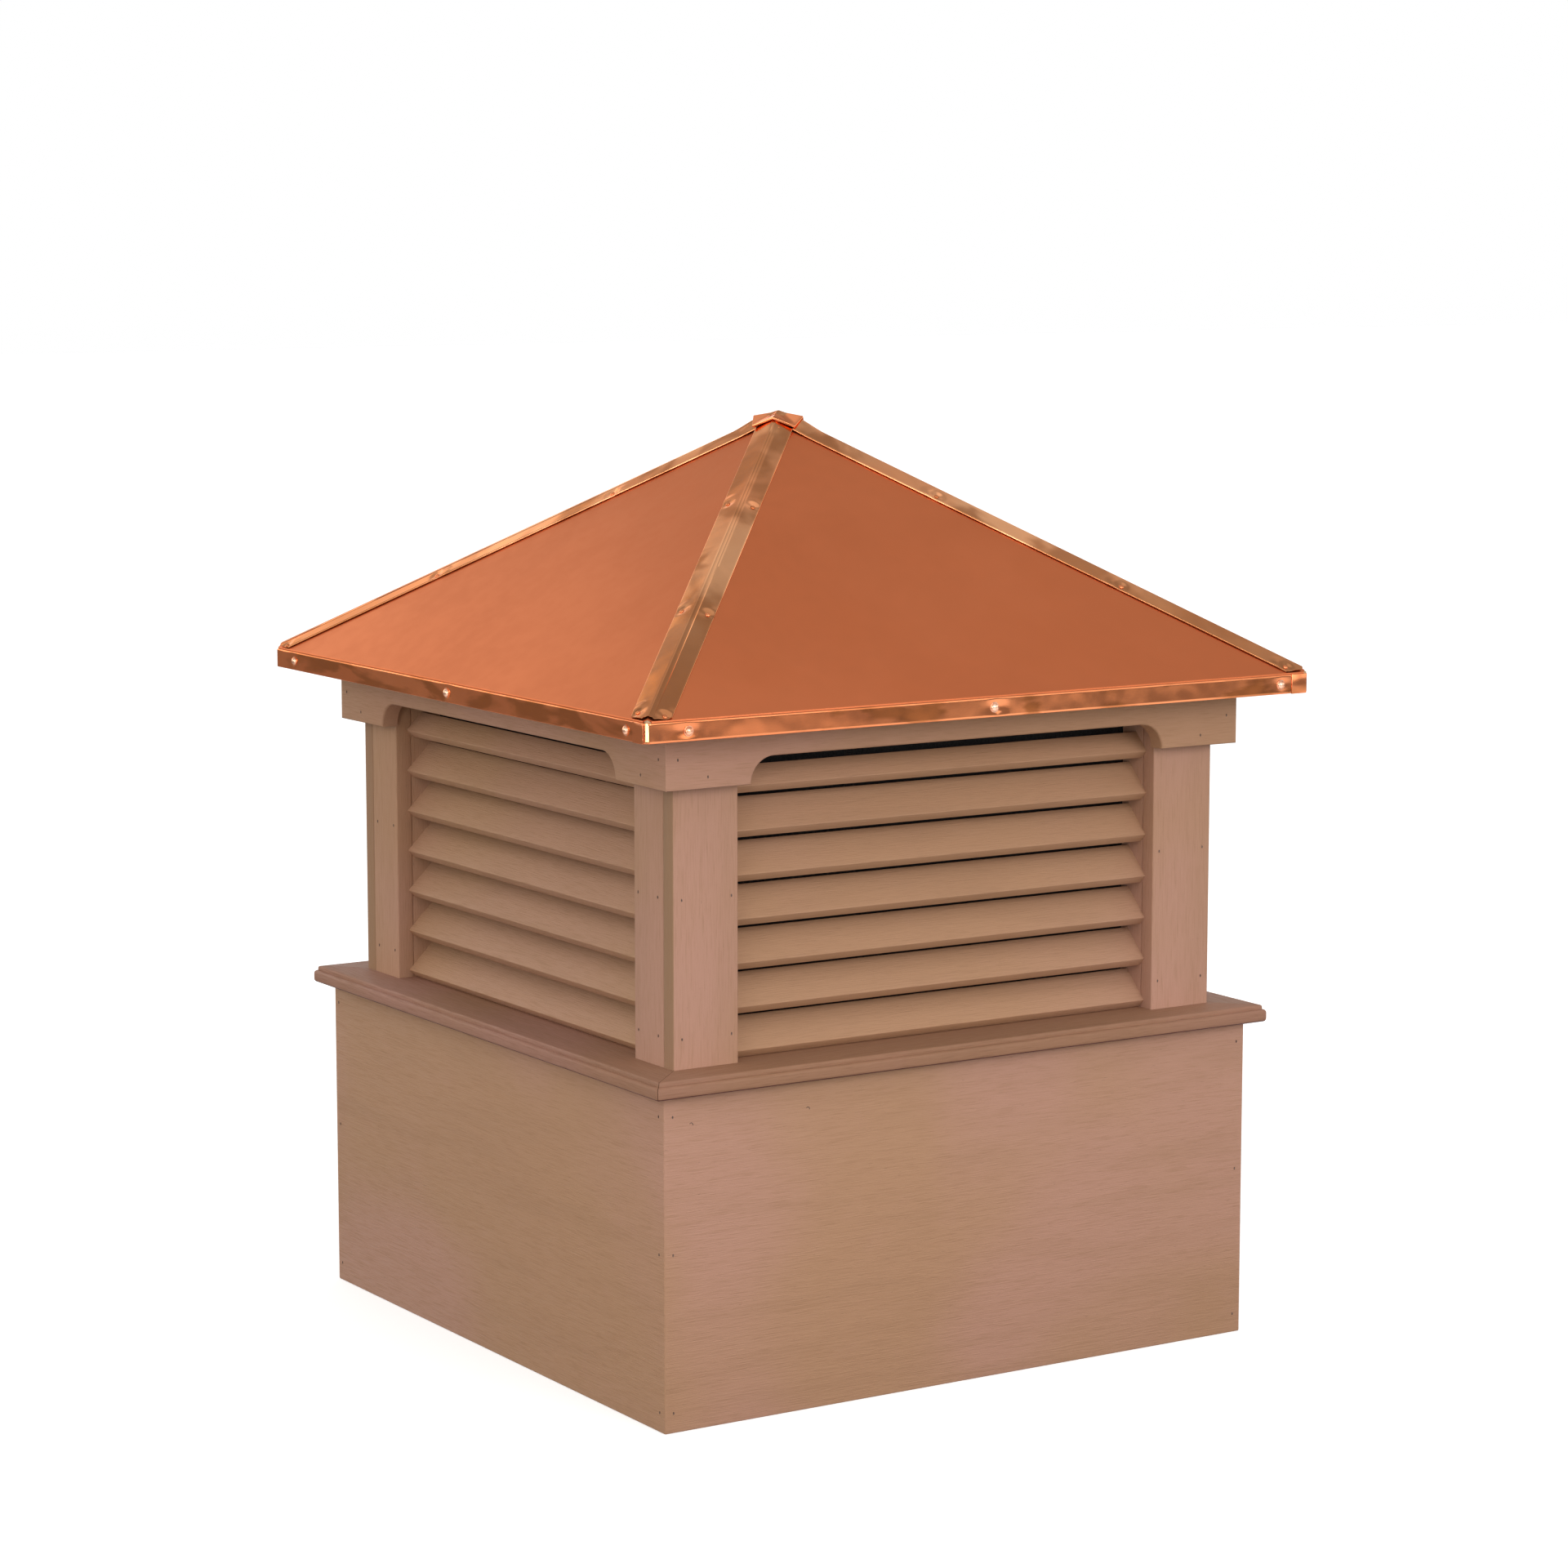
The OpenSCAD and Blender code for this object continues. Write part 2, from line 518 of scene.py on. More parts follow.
class Graph:
    """A node tree, built one node at a time."""

    def __init__(self, owner: Material | bpy.types.World) -> None:
        """Opens the node tree of a material or a world."""
        owner.use_nodes = True
        self.tree = owner.node_tree

    def add(self, kind: str, **values: object) -> bpy.types.Node:
        """Adds a node and sets its properties.

        Args:
            kind: The node's type.
            values: Its properties by name.

        Returns:
            The node.
        """
        node = self.tree.nodes.new(kind)
        for name, value in values.items():
            setattr(node, name, value)
        return node

    def link(self, source: Socket, target: Socket) -> None:
        """Links an output to an input."""
        self.tree.links.new(source, target)

    def place(self, scale: Iterable[float] = (1, 1, 1), shift: Iterable[float] = (0, 0, 0)) -> Socket:
        """Object coordinates, scaled and shifted.

        Args:
            scale: The scale along each axis.
            shift: The shift along each axis.

        Returns:
            The coordinates.
        """
        mapping = self.add("ShaderNodeMapping")
        mapping.inputs["Scale"].default_value = tuple(scale)
        mapping.inputs["Location"].default_value = tuple(shift)
        self.link(self.add("ShaderNodeTexCoord").outputs["Object"], mapping.inputs["Vector"])
        return mapping.outputs["Vector"]

    def noise(self, place: Socket, scale: float, detail: float = 3.0, distortion: float = 0.0) -> Socket:
        """A noise pattern's factor.

        Args:
            place: The coordinates to read.
            scale: How fine the pattern is.
            detail: How many finer layers it has.
            distortion: How much it swirls.

        Returns:
            The factor.
        """
        node = self.add("ShaderNodeTexNoise")
        node.inputs["Scale"].default_value = scale
        node.inputs["Detail"].default_value = detail
        node.inputs["Distortion"].default_value = distortion
        self.link(place, node.inputs["Vector"])
        return node.outputs["Fac"]

    def spread(
        self, source: Socket, low: float, high: float, to_low: float = 0.0, to_high: float = 1.0
    ) -> Socket:
        """A factor's range from low to high, spread smoothly over a new range.

        Args:
            source: The factor.
            low: Its value where the new range starts.
            high: Its value where the new range ends.
            to_low: The new range's start.
            to_high: The new range's end.

        Returns:
            The new factor.
        """
        node = self.add("ShaderNodeMapRange", interpolation_type="SMOOTHSTEP")
        for name, value in zip(("From Min", "From Max", "To Min", "To Max"), (low, high, to_low, to_high)):
            node.inputs[name].default_value = value
        self.link(source, node.inputs["Value"])
        return node.outputs["Result"]

    def mix(
        self,
        factor: Socket,
        first: Colour | Socket,
        second: Colour | Socket,
        blend: str = "MIX",
    ) -> Socket:
        """Mixes two colours, each a value or an output.

        Args:
            factor: The second colour's share.
            first: The first colour.
            second: The second colour.
            blend: How the second acts on the first.

        Returns:
            The mixed colour.
        """
        node = self.add("ShaderNodeMix", data_type="RGBA", blend_type=blend)
        self.link(factor, node.inputs[0])
        for socket, value in ((node.inputs[6], first), (node.inputs[7], second)):
            if isinstance(value, tuple):
                socket.default_value = (*value, 1.0)
            else:
                self.link(value, socket)
        return node.outputs[2]

    def sum(self, parts: Iterable[tuple[Socket, float]]) -> Socket:
        """Adds factors up, each times its weight.

        Args:
            parts: The factors and their weights.

        Returns:
            The total.
        """
        total = None
        for source, weight in parts:
            node = self.add("ShaderNodeMath", operation="MULTIPLY_ADD")
            self.link(source, node.inputs[0])
            node.inputs[1].default_value = weight
            if total is None:
                node.inputs[2].default_value = 0.0
            else:
                self.link(total, node.inputs[2])
            total = node.outputs[0]
        return total


class Finish(Graph):
    """A material with a Principled shader."""

    def __init__(self, name: str) -> None:
        """Starts the material.

        Args:
            name: The material's name.
        """
        self.material = bpy.data.materials.new(name)
        super().__init__(self.material)
        self.shader = self.tree.nodes["Principled BSDF"]

    def wash(self, under: Socket, pattern: Socket, window: Span, strength: float, over: Colour) -> Socket:
        """Lays a colour over another where a pattern passes through a window.

        Args:
            under: The colour so far.
            pattern: The pattern that says where.
            window: The pattern's values at which the wash starts and is full.
            strength: How much of the colour shows where it is full.
            over: The colour that is laid over.

        Returns:
            The mixed colour.
        """
        return self.mix(self.spread(pattern, *window, 0.0, strength), under, over)

    def paint(self, colour: Socket, roughness: Socket | None = None) -> None:
        """Links the base colour and, if it is given, the roughness.

        Args:
            colour: The base colour.
            roughness: The roughness, from 0 to 1.
        """
        self.link(colour, self.shader.inputs["Base Color"])
        if roughness is not None:
            self.link(roughness, self.shader.inputs["Roughness"])

    def relief(self, height: Socket, distance: float, strength: float = 1.0) -> None:
        """Raises the surface by a height pattern.

        Args:
            height: The pattern.
            distance: The height of its peaks in metres.
            strength: How much of it shows.
        """
        node = self.add("ShaderNodeBump")
        node.inputs["Strength"].default_value = strength
        node.inputs["Distance"].default_value = distance
        self.link(height, node.inputs["Height"])
        self.link(node.outputs["Normal"], self.shader.inputs["Normal"])

    def set(self, **values: float | tuple[float, ...]) -> None:
        """Sets the shader's own sockets: underscores in a name stand for spaces."""
        for name, value in values.items():
            self.shader.inputs[name.replace("_", " ")].default_value = value


@dataclass(frozen=True)
class BoardStain:
    """Tan stain on sawn boards, with blotches, rings, fibre and pores."""

    name: str
    grain: Grain
    tan: Colour = (0.415, 0.235, 0.132)
    rose: Colour = (0.445, 0.245, 0.168)
    shade: Colour = (0.325, 0.180, 0.098)
    pore: Colour = (0.16, 0.085, 0.05)
    shift: float = 0.0
    ring_share: float = 0.24
    fibre_share: float = 0.55
    mottle_share: float = 0.16
    pore_share: float = 0.5
    gloss: Span = (0.52, 0.72)
    depth: float = 0.0007
    shine: float = 0.32

    def material(self) -> Material:
        """Builds the finish.

        Returns:
            The finish's material.
        """
        graph = Finish(self.name)
        whole = graph.place(shift=(self.shift, self.shift, 0))
        rings = graph.noise(graph.place(self.grain.stretch(9), (0, self.shift, 0)), 4.0, 5.0, 0.4)
        fibre = graph.noise(graph.place(self.grain.stretch(24)), 38.0, 6.0)
        pores = graph.noise(graph.place(self.grain.stretch(12), (3, 0, 1)), 120.0, 2.0)
        blotch = graph.noise(whole, 2.4, 2.0)
        mottle = graph.noise(whole, 26.0, 4.0)
        colour = graph.mix(graph.spread(blotch, 0.42, 0.62), self.tan, self.rose)
        colour = graph.wash(colour, rings, (0.45, 0.75), self.ring_share, self.shade)
        colour = graph.wash(colour, fibre, (0.48, 0.80), self.fibre_share, self.shade)
        colour = graph.wash(colour, mottle, (0.55, 0.75), self.mottle_share, self.rose)
        colour = graph.wash(colour, pores, (0.70, 0.78), self.pore_share, self.pore)
        graph.paint(colour, graph.spread(fibre, *MIDDLE, *self.gloss))
        graph.relief(graph.sum([(fibre, 0.6), (rings, 0.5), (pores, -0.3)]), self.depth)
        graph.set(Specular_IOR_Level=self.shine)
        return graph.material


@dataclass(frozen=True)
class BarePlywood:
    """Bare plywood with a broad figure and thin dark checks."""

    name: str = "bare_plywood"
    pale: Colour = (0.53, 0.37, 0.21)
    brown: Colour = (0.36, 0.22, 0.11)
    check_share: float = 0.5
    gloss: Span = (0.62, 0.8)
    depth: float = 0.0005

    def material(self) -> Material:
        """Builds the finish.

        Returns:
            The finish's material.
        """
        graph = Finish(self.name)
        figure = graph.noise(graph.place(Grain.ALONG_X.stretch(5)), 3.5, 4.0, 1.2)
        fibre = graph.noise(graph.place(Grain.ALONG_X.stretch(30)), 30.0, 5.0)
        colour = graph.mix(graph.spread(figure, 0.4, 0.65), self.pale, self.brown)
        colour = graph.wash(colour, fibre, (0.5, 0.8), self.check_share, self.brown)
        graph.paint(colour, graph.spread(fibre, *MIDDLE, *self.gloss))
        graph.relief(fibre, self.depth)
        return graph.material


@dataclass(frozen=True)
class Copper:
    """Copper sheet under clear lacquer, from satin to bright."""

    name: str
    base: Colour
    cloud: Colour
    stain: Colour
    gloss: Span = (0.07, 0.16)
    cloud_scale: float = 5.0
    smudge_scale: float = 60.0
    grit_scale: float = 900.0
    grit_share: float = 0.004
    stain_share: float = 0.85
    stain_scale: float = 10.0
    wave: float = 0.0016
    wave_scale: float = 11.0
    coat: float = 0.5
    coat_roughness: float = 0.06
    edge: Colour = (1.0, 0.55, 0.35)
    squash: float = 1.0
    darker_below: Span | None = None
    darker_below_drift: float = 0.06

    def material(self) -> Material:
        """Builds the finish.

        Returns:
            The finish's material.
        """
        graph = Finish(self.name)
        place = graph.place()
        clouds = graph.noise(place, self.cloud_scale)
        squashed = graph.place((1, 1, self.squash), (1.7, 0.4, 2.2))
        stains = graph.noise(squashed, self.stain_scale, 3.0, 0.5)
        smudge = graph.noise(place, self.smudge_scale)
        grit = graph.noise(place, self.grit_scale, 2.0)
        waves = graph.noise(place, self.wave_scale, 2.0, 0.3)
        colour = graph.mix(graph.spread(clouds, 0.4, 0.65), self.base, self.cloud)
        colour = graph.wash(colour, stains, (0.48, 0.62), self.stain_share, self.stain)
        # Below the given heights the colour turns towards the stain colour: darker towards the bottom.
        if self.darker_below:
            split = graph.add("ShaderNodeSeparateXYZ")
            graph.link(place, split.inputs[0])
            height = graph.sum([(split.outputs["Z"], 1.0), (clouds, self.darker_below_drift)])
            colour = graph.mix(graph.spread(height, *self.darker_below, self.stain_share, 0.0), colour, self.stain)
        worn = graph.sum([(smudge, 0.6), (stains, 0.4)])
        graph.paint(colour, graph.spread(worn, 0.35, 0.65, *self.gloss))
        graph.relief(graph.sum([(waves, 1.0), (grit, self.grit_share)]), self.wave)
        graph.set(Metallic=1.0, Specular_Tint=(*self.edge, 1.0))
        graph.set(Coat_Weight=self.coat, Coat_Roughness=self.coat_roughness)
        return graph.material


@dataclass(frozen=True)
class DarkSteel:
    """Weathered dark steel of the nails, and near-black wire for the insect screens, which also paints the
    shade inside so the louvre gaps read black.
    """

    name: str = "nail_steel"
    brown: Colour = (0.075, 0.045, 0.035)
    grey: Colour = (0.16, 0.11, 0.09)
    rust_scale: float = 700.0
    gloss: Span = (0.45, 0.7)
    depth: float = 0.0001

    def material(self) -> Material:
        """Builds the finish.

        Returns:
            The finish's material.
        """
        graph = Finish(self.name)
        rust = graph.noise(graph.place(), self.rust_scale)
        colour = graph.mix(graph.spread(rust, 0.4, 0.6), self.grey, self.brown)
        graph.paint(colour, graph.spread(rust, *MIDDLE, *self.gloss))
        graph.relief(rust, self.depth)
        graph.set(Metallic=0.4)
        return graph.material


@dataclass(frozen=True)
class Palette:
    """All the finishes, each made once."""

    boards_across: Material
    boards_deep: Material
    posts: Material
    post_edges: Material
    sills_across: Material
    sills_deep: Material
    undersides: Material
    slats_across: Material
    slats_deep: Material
    plywood: Material
    sheet: Material
    trim: Material
    band: Material
    screw: Material
    nail: Material
    screen: Material

    @classmethod
    def mixed(cls) -> "Palette":
        """Mixes every finish.

        Returns:
            The palette.
        """
        slat_tones = {"tan": (0.43, 0.245, 0.137), "rose": (0.44, 0.248, 0.155)}
        edge_tones = {"tan": (0.31, 0.18, 0.10), "rose": (0.33, 0.185, 0.11)}
        # A darker copy of the board stain: painted shade for the sill's nose, which the light leaves darker
        # than the boards.
        sill_shaded_tones = {
            "tan": (0.30, 0.155, 0.086),
            "rose": (0.33, 0.165, 0.115),
            "shade": (0.21, 0.108, 0.06),
        }
        # Near-black red-brown for faces that turn down: painted shade under the sill's nose and along the
        # frieze's lower edge.
        underside_shade_tones = {
            "tan": (0.085, 0.022, 0.018),
            "rose": (0.10, 0.025, 0.022),
            "shade": (0.06, 0.015, 0.012),
        }
        post_rose = (0.455, 0.252, 0.178)
        return cls(
            boards_across=BoardStain("board_along_x", Grain.ALONG_X).material(),
            boards_deep=BoardStain("board_along_y", Grain.ALONG_Y).material(),
            posts=BoardStain("board_upright", Grain.ALONG_Z, rose=post_rose, shift=1.3).material(),
            post_edges=BoardStain("board_edge", Grain.ALONG_Z, **edge_tones).material(),
            sills_across=BoardStain("sill_along_x", Grain.ALONG_X, shift=2.1, **sill_shaded_tones).material(),
            sills_deep=BoardStain("sill_along_y", Grain.ALONG_Y, shift=2.1, **sill_shaded_tones).material(),
            slats_across=BoardStain("slat_along_x", Grain.ALONG_X, shift=0.6, **slat_tones).material(),
            slats_deep=BoardStain("slat_along_y", Grain.ALONG_Y, shift=0.6, **slat_tones).material(),
            undersides=BoardStain("board_underside_shade", Grain.ALONG_Z, **underside_shade_tones).material(),
            plywood=BarePlywood().material(),
            sheet=Copper(
                name="copper_satin",
                base=(0.67, 0.184, 0.070),
                cloud=(0.70, 0.196, 0.076),
                stain=(0.62, 0.168, 0.058),
                gloss=(0.30, 0.36),
                stain_share=0.12,
                stain_scale=8.0,
                wave=0.0012,
                wave_scale=3.0,
                coat=0.06,
                coat_roughness=0.16,
                edge=(0.64, 0.60, 0.55),
            ).material(),
            trim=Copper(
                name="copper_bright",
                base=(0.97, 0.48, 0.23),
                cloud=(0.82, 0.31, 0.125),
                stain=(0.44, 0.155, 0.045),
                darker_below=(0.84, 0.92),
            ).material(),
            band=Copper(
                name="copper_band",
                base=(0.90, 0.30, 0.115),
                cloud=(0.84, 0.26, 0.095),
                stain=(0.47, 0.145, 0.036),
                squash=3.5,
            ).material(),
            screw=Copper(
                name="copper_screw",
                base=(0.97, 0.62, 0.44),
                cloud=(0.95, 0.52, 0.33),
                stain=(0.62, 0.25, 0.12),
                gloss=(0.18, 0.28),
                stain_share=0.6,
                stain_scale=120.0,
                wave=0.0002,
                wave_scale=90.0,
                coat_roughness=0.12,
            ).material(),
            nail=DarkSteel().material(),
            # Near-black wire: painted shade that keeps the gaps between the slats black.
            screen=DarkSteel("screen_wire_shade", (0.004, 0.004, 0.004), (0.007, 0.006, 0.006)).material(),
        )


# ---------------------------------------------------------------- carpentry


@dataclass
class Base:
    """Four mitred base boards with eased edges."""

    palette: Palette
    arris: float = 0.0016

    def build(self) -> None:
        """Models the front board and turns it to the other sides."""
        low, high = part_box("base_front")
        half = -low.y
        board = block("base_board", (-half, -half, low.z), (half, half, high.z))
        ease(board, lambda edge: True, self.arris)
        mitre(board)
        cut(board, high, (0, 1, 0))
        smooth(board)
        finishes = [self.palette.boards_across, self.palette.boards_deep]
        publish_round(board, Side, "base_board", finishes, "board", "base")


@dataclass
class Sill:
    """Four mitred sill boards with a rounded nose, a small step and open mitres."""

    palette: Palette
    step_in: float = 0.0045
    step_up: float = 0.005
    nose_round: float = 0.0040
    nose_flats: int = 5
    shade_tilt: float = 0.55
    step_round: float = 0.0022
    mitre_gap: float = 0.0006

    def build(self) -> None:
        """Models the front board and turns it to the other sides."""
        low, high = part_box("sill_front")
        half = -low.y
        nose_top = high.z - self.step_up
        board = block("sill_board", (-half, -half, low.z), (half, half, nose_top))
        with editing(board):
            pick(board, Element.FACE, lambda face: face.normal.z > FACING)
            bpy.ops.mesh.inset(thickness=self.step_in)
            bpy.ops.mesh.extrude_region_move(TRANSFORM_OT_translate={"value": (0, 0, self.step_up)})
        ease(board, level(high.z), self.step_round)
        ease(
            board,
            lambda edge: every(edge, lambda place: not inside(place, half - 2 * SMALL)),
            self.nose_round,
            self.nose_flats,
        )
        mitre(board, self.mitre_gap)
        cut(board, high, (0, 1, 0))
        smooth(board, 40)
        finishes = [self.palette.sills_across, self.palette.sills_deep]
        for piece in publish_round(board, Side, "sill_board", finishes, "board", "sill"):
            # Faces that turn down get the painted shade finish.
            paint(piece, self.palette.undersides, lambda face: face.normal.z < -self.shade_tilt)


@dataclass
class CornerBoards:
    """Pairs of upright boards: the front and back pairs run to the corners."""

    palette: Palette
    arris: float = 0.0016

    def build(self) -> None:
        """Models each side's pair in its own place."""
        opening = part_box("slats_front")[1].x
        for side in Side:
            node = f"corner_boards_{side.label}"
            low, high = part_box(node)
            long_axis = 0 if side in (Side.FRONT, Side.BACK) else 1
            boards = []
            for end in (-1, 1):
                first, last = low.copy(), high.copy()
                if end < 0:
                    last[long_axis] = -opening
                else:
                    first[long_axis] = opening
                board = block("corner_board", first, last)
                ease(board, upright, self.arris)
                boards.append(board)
            pair = joined(f"corner_pair_{side.label}", boards)
            smooth(pair)
            publish(pair, self.palette.posts, "board", node)
            if side in (Side.FRONT, Side.BACK):
                sawn = high.x - self.arris
                paint(
                    pair,
                    self.palette.post_edges,
                    lambda face: every(face, lambda place: abs(place.x) > sawn),
                )


@dataclass
class Louvres:
    """Seven fixed slats on each side, square at their lower edge."""

    palette: Palette
    count: int = 7
    thickness: float = 0.0125
    slope: float = math.radians(45)
    setback: float = 0.014
    gap: float = 0.0063
    top_gap: float = 0.0182
    arris: float = 0.0009

    def slat(self, name: str, climb: float, opening: float) -> Piece:
        """Models one slat at the origin, sloped, with its lowest corner there.

        Args:
            name: The slat's name.
            climb: The height that its back face climbs.
            opening: Half the width of the opening it fills.

        Returns:
            The slat.
        """
        width = climb / math.sin(self.slope)
        slat = block(name, (-opening, 0, 0), (opening, width, self.thickness))
        ease(slat, lambda edge: abs(run(edge).x) > opening, self.arris)
        slat.rotation_euler.x = self.slope
        settle(slat)
        return slat

    def build(self) -> None:
        """Models two slats, stacks copies at the front and turns them round."""
        low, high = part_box("slats_front")
        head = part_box("head_rail_front")[0].z
        pitch = (head - low.z) / self.count
        foot = self.thickness * math.cos(self.slope)
        lowest_y = low.y + self.thickness * math.sin(self.slope)
        common = self.slat("common_slat", pitch - self.gap - foot, high.x)
        narrow = self.slat("narrow_slat", pitch - self.top_gap - foot, high.x)
        stack = []
        for number in range(self.count):
            pattern = common if number < self.count - 1 else narrow
            place = Matrix.Translation((0, lowest_y, low.z + number * pitch))
            stack.append(copied(pattern, f"slat_{number}", place))
        for pattern in (common, narrow):
            bpy.data.objects.remove(pattern)
        slats = joined("slat_stack", stack)
        smooth(slats)
        finishes = [self.palette.slats_across, self.palette.slats_deep]
        publish_round(slats, Side, "louvres", finishes, "slat", "slats")


@dataclass
class Frieze:
    """Four mitred boards with a long cut-out between lowered ends."""

    palette: Palette
    bracket: float = 0.104
    arch_radius: float = 0.0285
    arch_segments: int = 14
    arris: float = 0.001
    lower_round: float = 0.0026
    shade_tilt: float = 0.55

    def cutter(self, half: float, foot: float) -> Piece:
        """Models the solid that makes the cut-out.

        Args:
            half: Half the width of the frieze.
            foot: Height of the frieze's lower edge.

        Returns:
            The cutter.
        """
        reach = half - self.bracket
        rise = self.arch_radius
        tool = block("cutter", (-reach, -2 * half, foot - rise), (reach, 0, foot + rise))
        ease(
            tool,
            lambda edge: every(edge, lambda place: place.z > foot and abs(place.x) > reach - SMALL)
            and abs(run(edge).y) > half,
            self.arch_radius,
            self.arch_segments,
        )
        return tool

    def build(self) -> None:
        """Models the front board and turns it to the other sides."""
        low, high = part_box("frieze_front")
        half = -low.y
        board = block("frieze_board", (-half, -half, low.z), (half, half, high.z))
        ease(board, upright, self.arris)
        mitre(board)
        cut(board, high, (0, 1, 0))
        tool = self.cutter(half, low.z)
        saw = board.modifiers.new("cut_out", "BOOLEAN")
        saw.operation = "DIFFERENCE"
        saw.solver = "EXACT"
        saw.object = tool
        shape_by(board, saw)
        bpy.data.objects.remove(tool)
        arch_top = low.z + self.arch_radius
        ease(
            board,
            lambda edge: every(edge, lambda place: place.y < -half + SMALL and place.z < arch_top + SMALL)
            and len({face.normal.y < -FACING for face in edge.link_faces}) == 2
            and not upright_at_end(edge, half),
            self.lower_round,
        )
        smooth(board)
        finishes = [self.palette.boards_across, self.palette.boards_deep]
        # The lower rounding's downward faces get painted shade.
        for piece in publish_round(board, Side, "frieze_board", finishes, "board", "frieze"):
            paint(
                piece,
                self.palette.undersides,
                lambda face: face.normal.z < -self.shade_tilt
                and every(face, lambda place: place.z < low.z + self.lower_round),
            )


def upright_at_end(edge: Edge, half: float) -> bool:
    """Says whether an edge stands near a board's outer end."""
    return upright(edge) and every(edge, lambda place: abs(place.x) > 0.95 * half)


@dataclass
class Carcass:
    """The stiles, head rails, roof plate and deck, which keep their own meshes."""

    palette: Palette

    def dress(self, nodes: dict[str, Piece]) -> None:
        """Gives each hidden node its finish.

        Args:
            nodes: The frame's nodes by name.
        """
        finishes = {
            "stiles": self.palette.posts,
            "head_rail": self.palette.boards_across,
            "roof_plate": self.palette.plywood,
            "deck": self.palette.plywood,
        }
        for name, node in nodes.items():
            for stem, material in finishes.items():
                if name.startswith(stem):
                    node.data.materials.clear()
                    node.data.materials.append(material)
                    LOG.info("dressed %s", name)


@dataclass
class InsectScreens:
    """Fine dark wire cloth behind the slats, fixed to the backs of the stiles; its near-black wire also
    paints the shade inside, so the louvre gaps read black.
    """

    palette: Palette
    pitch: float = 0.0014
    wire: float = 0.00075
    sink: float = 0.8
    overlap: float = 0.010

    def wires(self, name: str, low: Vector, high: Vector, axis: int) -> Piece:
        """Lays parallel wires side by side.

        Args:
            name: The layer's name.
            low: Lowest corner of the screen.
            high: Highest corner of the screen.
            axis: The axis along which the wires follow each other.

        Returns:
            The layer.
        """
        last = high.copy()
        last[axis] = low[axis] + self.wire
        layer = block(name, low, last)
        along = 2 - axis
        ease(layer, lambda edge: abs(run(edge)[along]) > self.pitch, self.wire / 4, 1)
        row = layer.modifiers.new("row", "ARRAY")
        row.use_relative_offset = False
        row.use_constant_offset = True
        step = Vector()
        step[axis] = self.pitch
        row.constant_offset_displace = step
        row.count = int((high[axis] - low[axis]) / self.pitch)
        shape_by(layer, row)
        return layer

    def build(self) -> None:
        """Models the front screen and turns it to the other sides."""
        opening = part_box("slats_front")[1].x
        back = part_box("stiles_front")[1].y
        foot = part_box("sill_front")[1].z
        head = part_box("head_rail_front")[0].z
        low = Vector((-opening - self.overlap, back, foot))
        high = Vector((opening + self.overlap, back + self.wire, head + self.overlap))
        shift = Vector((0, self.wire * self.sink, 0))
        layers = [self.wires("warp", low, high, 0), self.wires("weft", low + shift, high + shift, 2)]
        screen = joined("screen", layers)
        publish_round(screen, Side, "insect_screen", [self.palette.screen], "")


@dataclass
class Nails:
    """Finish nails in the base, the corner boards and the frieze."""

    palette: Palette
    radius: float = 0.0013
    proud: float = 0.00025
    slim: float = 0.62
    tall: float = 1.25
    rim: float = 0.3
    hollow: float = 0.8
    edge_inset: float = 0.0105
    inner_inset: float = 0.0084
    base_shares: tuple[float, ...] = (0.06, 0.53, 0.937)
    post_rises: tuple[float, ...] = (0.032, 0.179)
    frieze_nails: tuple[Span, ...] = ((0.0145, 0.032), (0.05075, 0.012))

    def head(self) -> Piece:
        """Models one oval nail head along +Z with a rounded rim.

        Returns:
            The head, sunk by half its depth.
        """
        bpy.ops.mesh.primitive_cylinder_add(vertices=12, radius=self.radius, depth=4 * self.proud)
        head = made("nail_head")
        ease(head, level(2 * self.proud), self.proud, 2)
        with editing(head):
            pick(head, Element.FACE, lambda face: face.normal.z > FACING)
            bpy.ops.mesh.inset(thickness=self.radius * self.rim)
            bpy.ops.transform.translate(value=(0, 0, -self.proud * self.hollow))
        head.scale = (self.slim, self.tall, 1)
        settle(head)
        smooth(head)
        return head

    def places(self, butted: float) -> list[Vector]:
        """Where the nails stand on the front or, turned, on a side.

        Args:
            butted: How far the outer nails keep clear of the next side's boards.

        Returns:
            Points on the boards' faces.
        """
        base_low, base_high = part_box("base_front")
        post_low, post_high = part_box("corner_boards_front")
        frieze_low, frieze_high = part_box("frieze_front")
        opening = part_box("slats_front")[1].x
        found = []
        for end in (-1, 1):
            for share in self.base_shares:
                along = end * (-base_low.x - self.edge_inset)
                found.append(Vector((along, base_low.y, base_high.z * share)))
            for rise in self.post_rises:
                for across in (-post_low.x - self.edge_inset - butted, opening + self.inner_inset):
                    found.append(Vector((end * across, post_low.y, post_low.z + rise)))
            for inset, rise in self.frieze_nails:
                found.append(Vector((end * (frieze_high.x - inset), frieze_low.y, frieze_low.z + rise)))
        return found

    def build(self) -> None:
        """Sets the nails of all four sides."""
        outward = Vector((0, -1, 0))
        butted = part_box("corner_boards_right")[0].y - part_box("corner_boards_front")[0].y
        for side in Side:
            places = self.places(butted if side.value % 2 else 0.0)
            name = f"nails_{side.label}"
            nails = stamped(self.head(), name, [standing(place, outward) for place in places])
            nails.rotation_euler.z = side.value * math.pi / 2
            settle(nails)
            publish(nails, self.palette.nail, "")


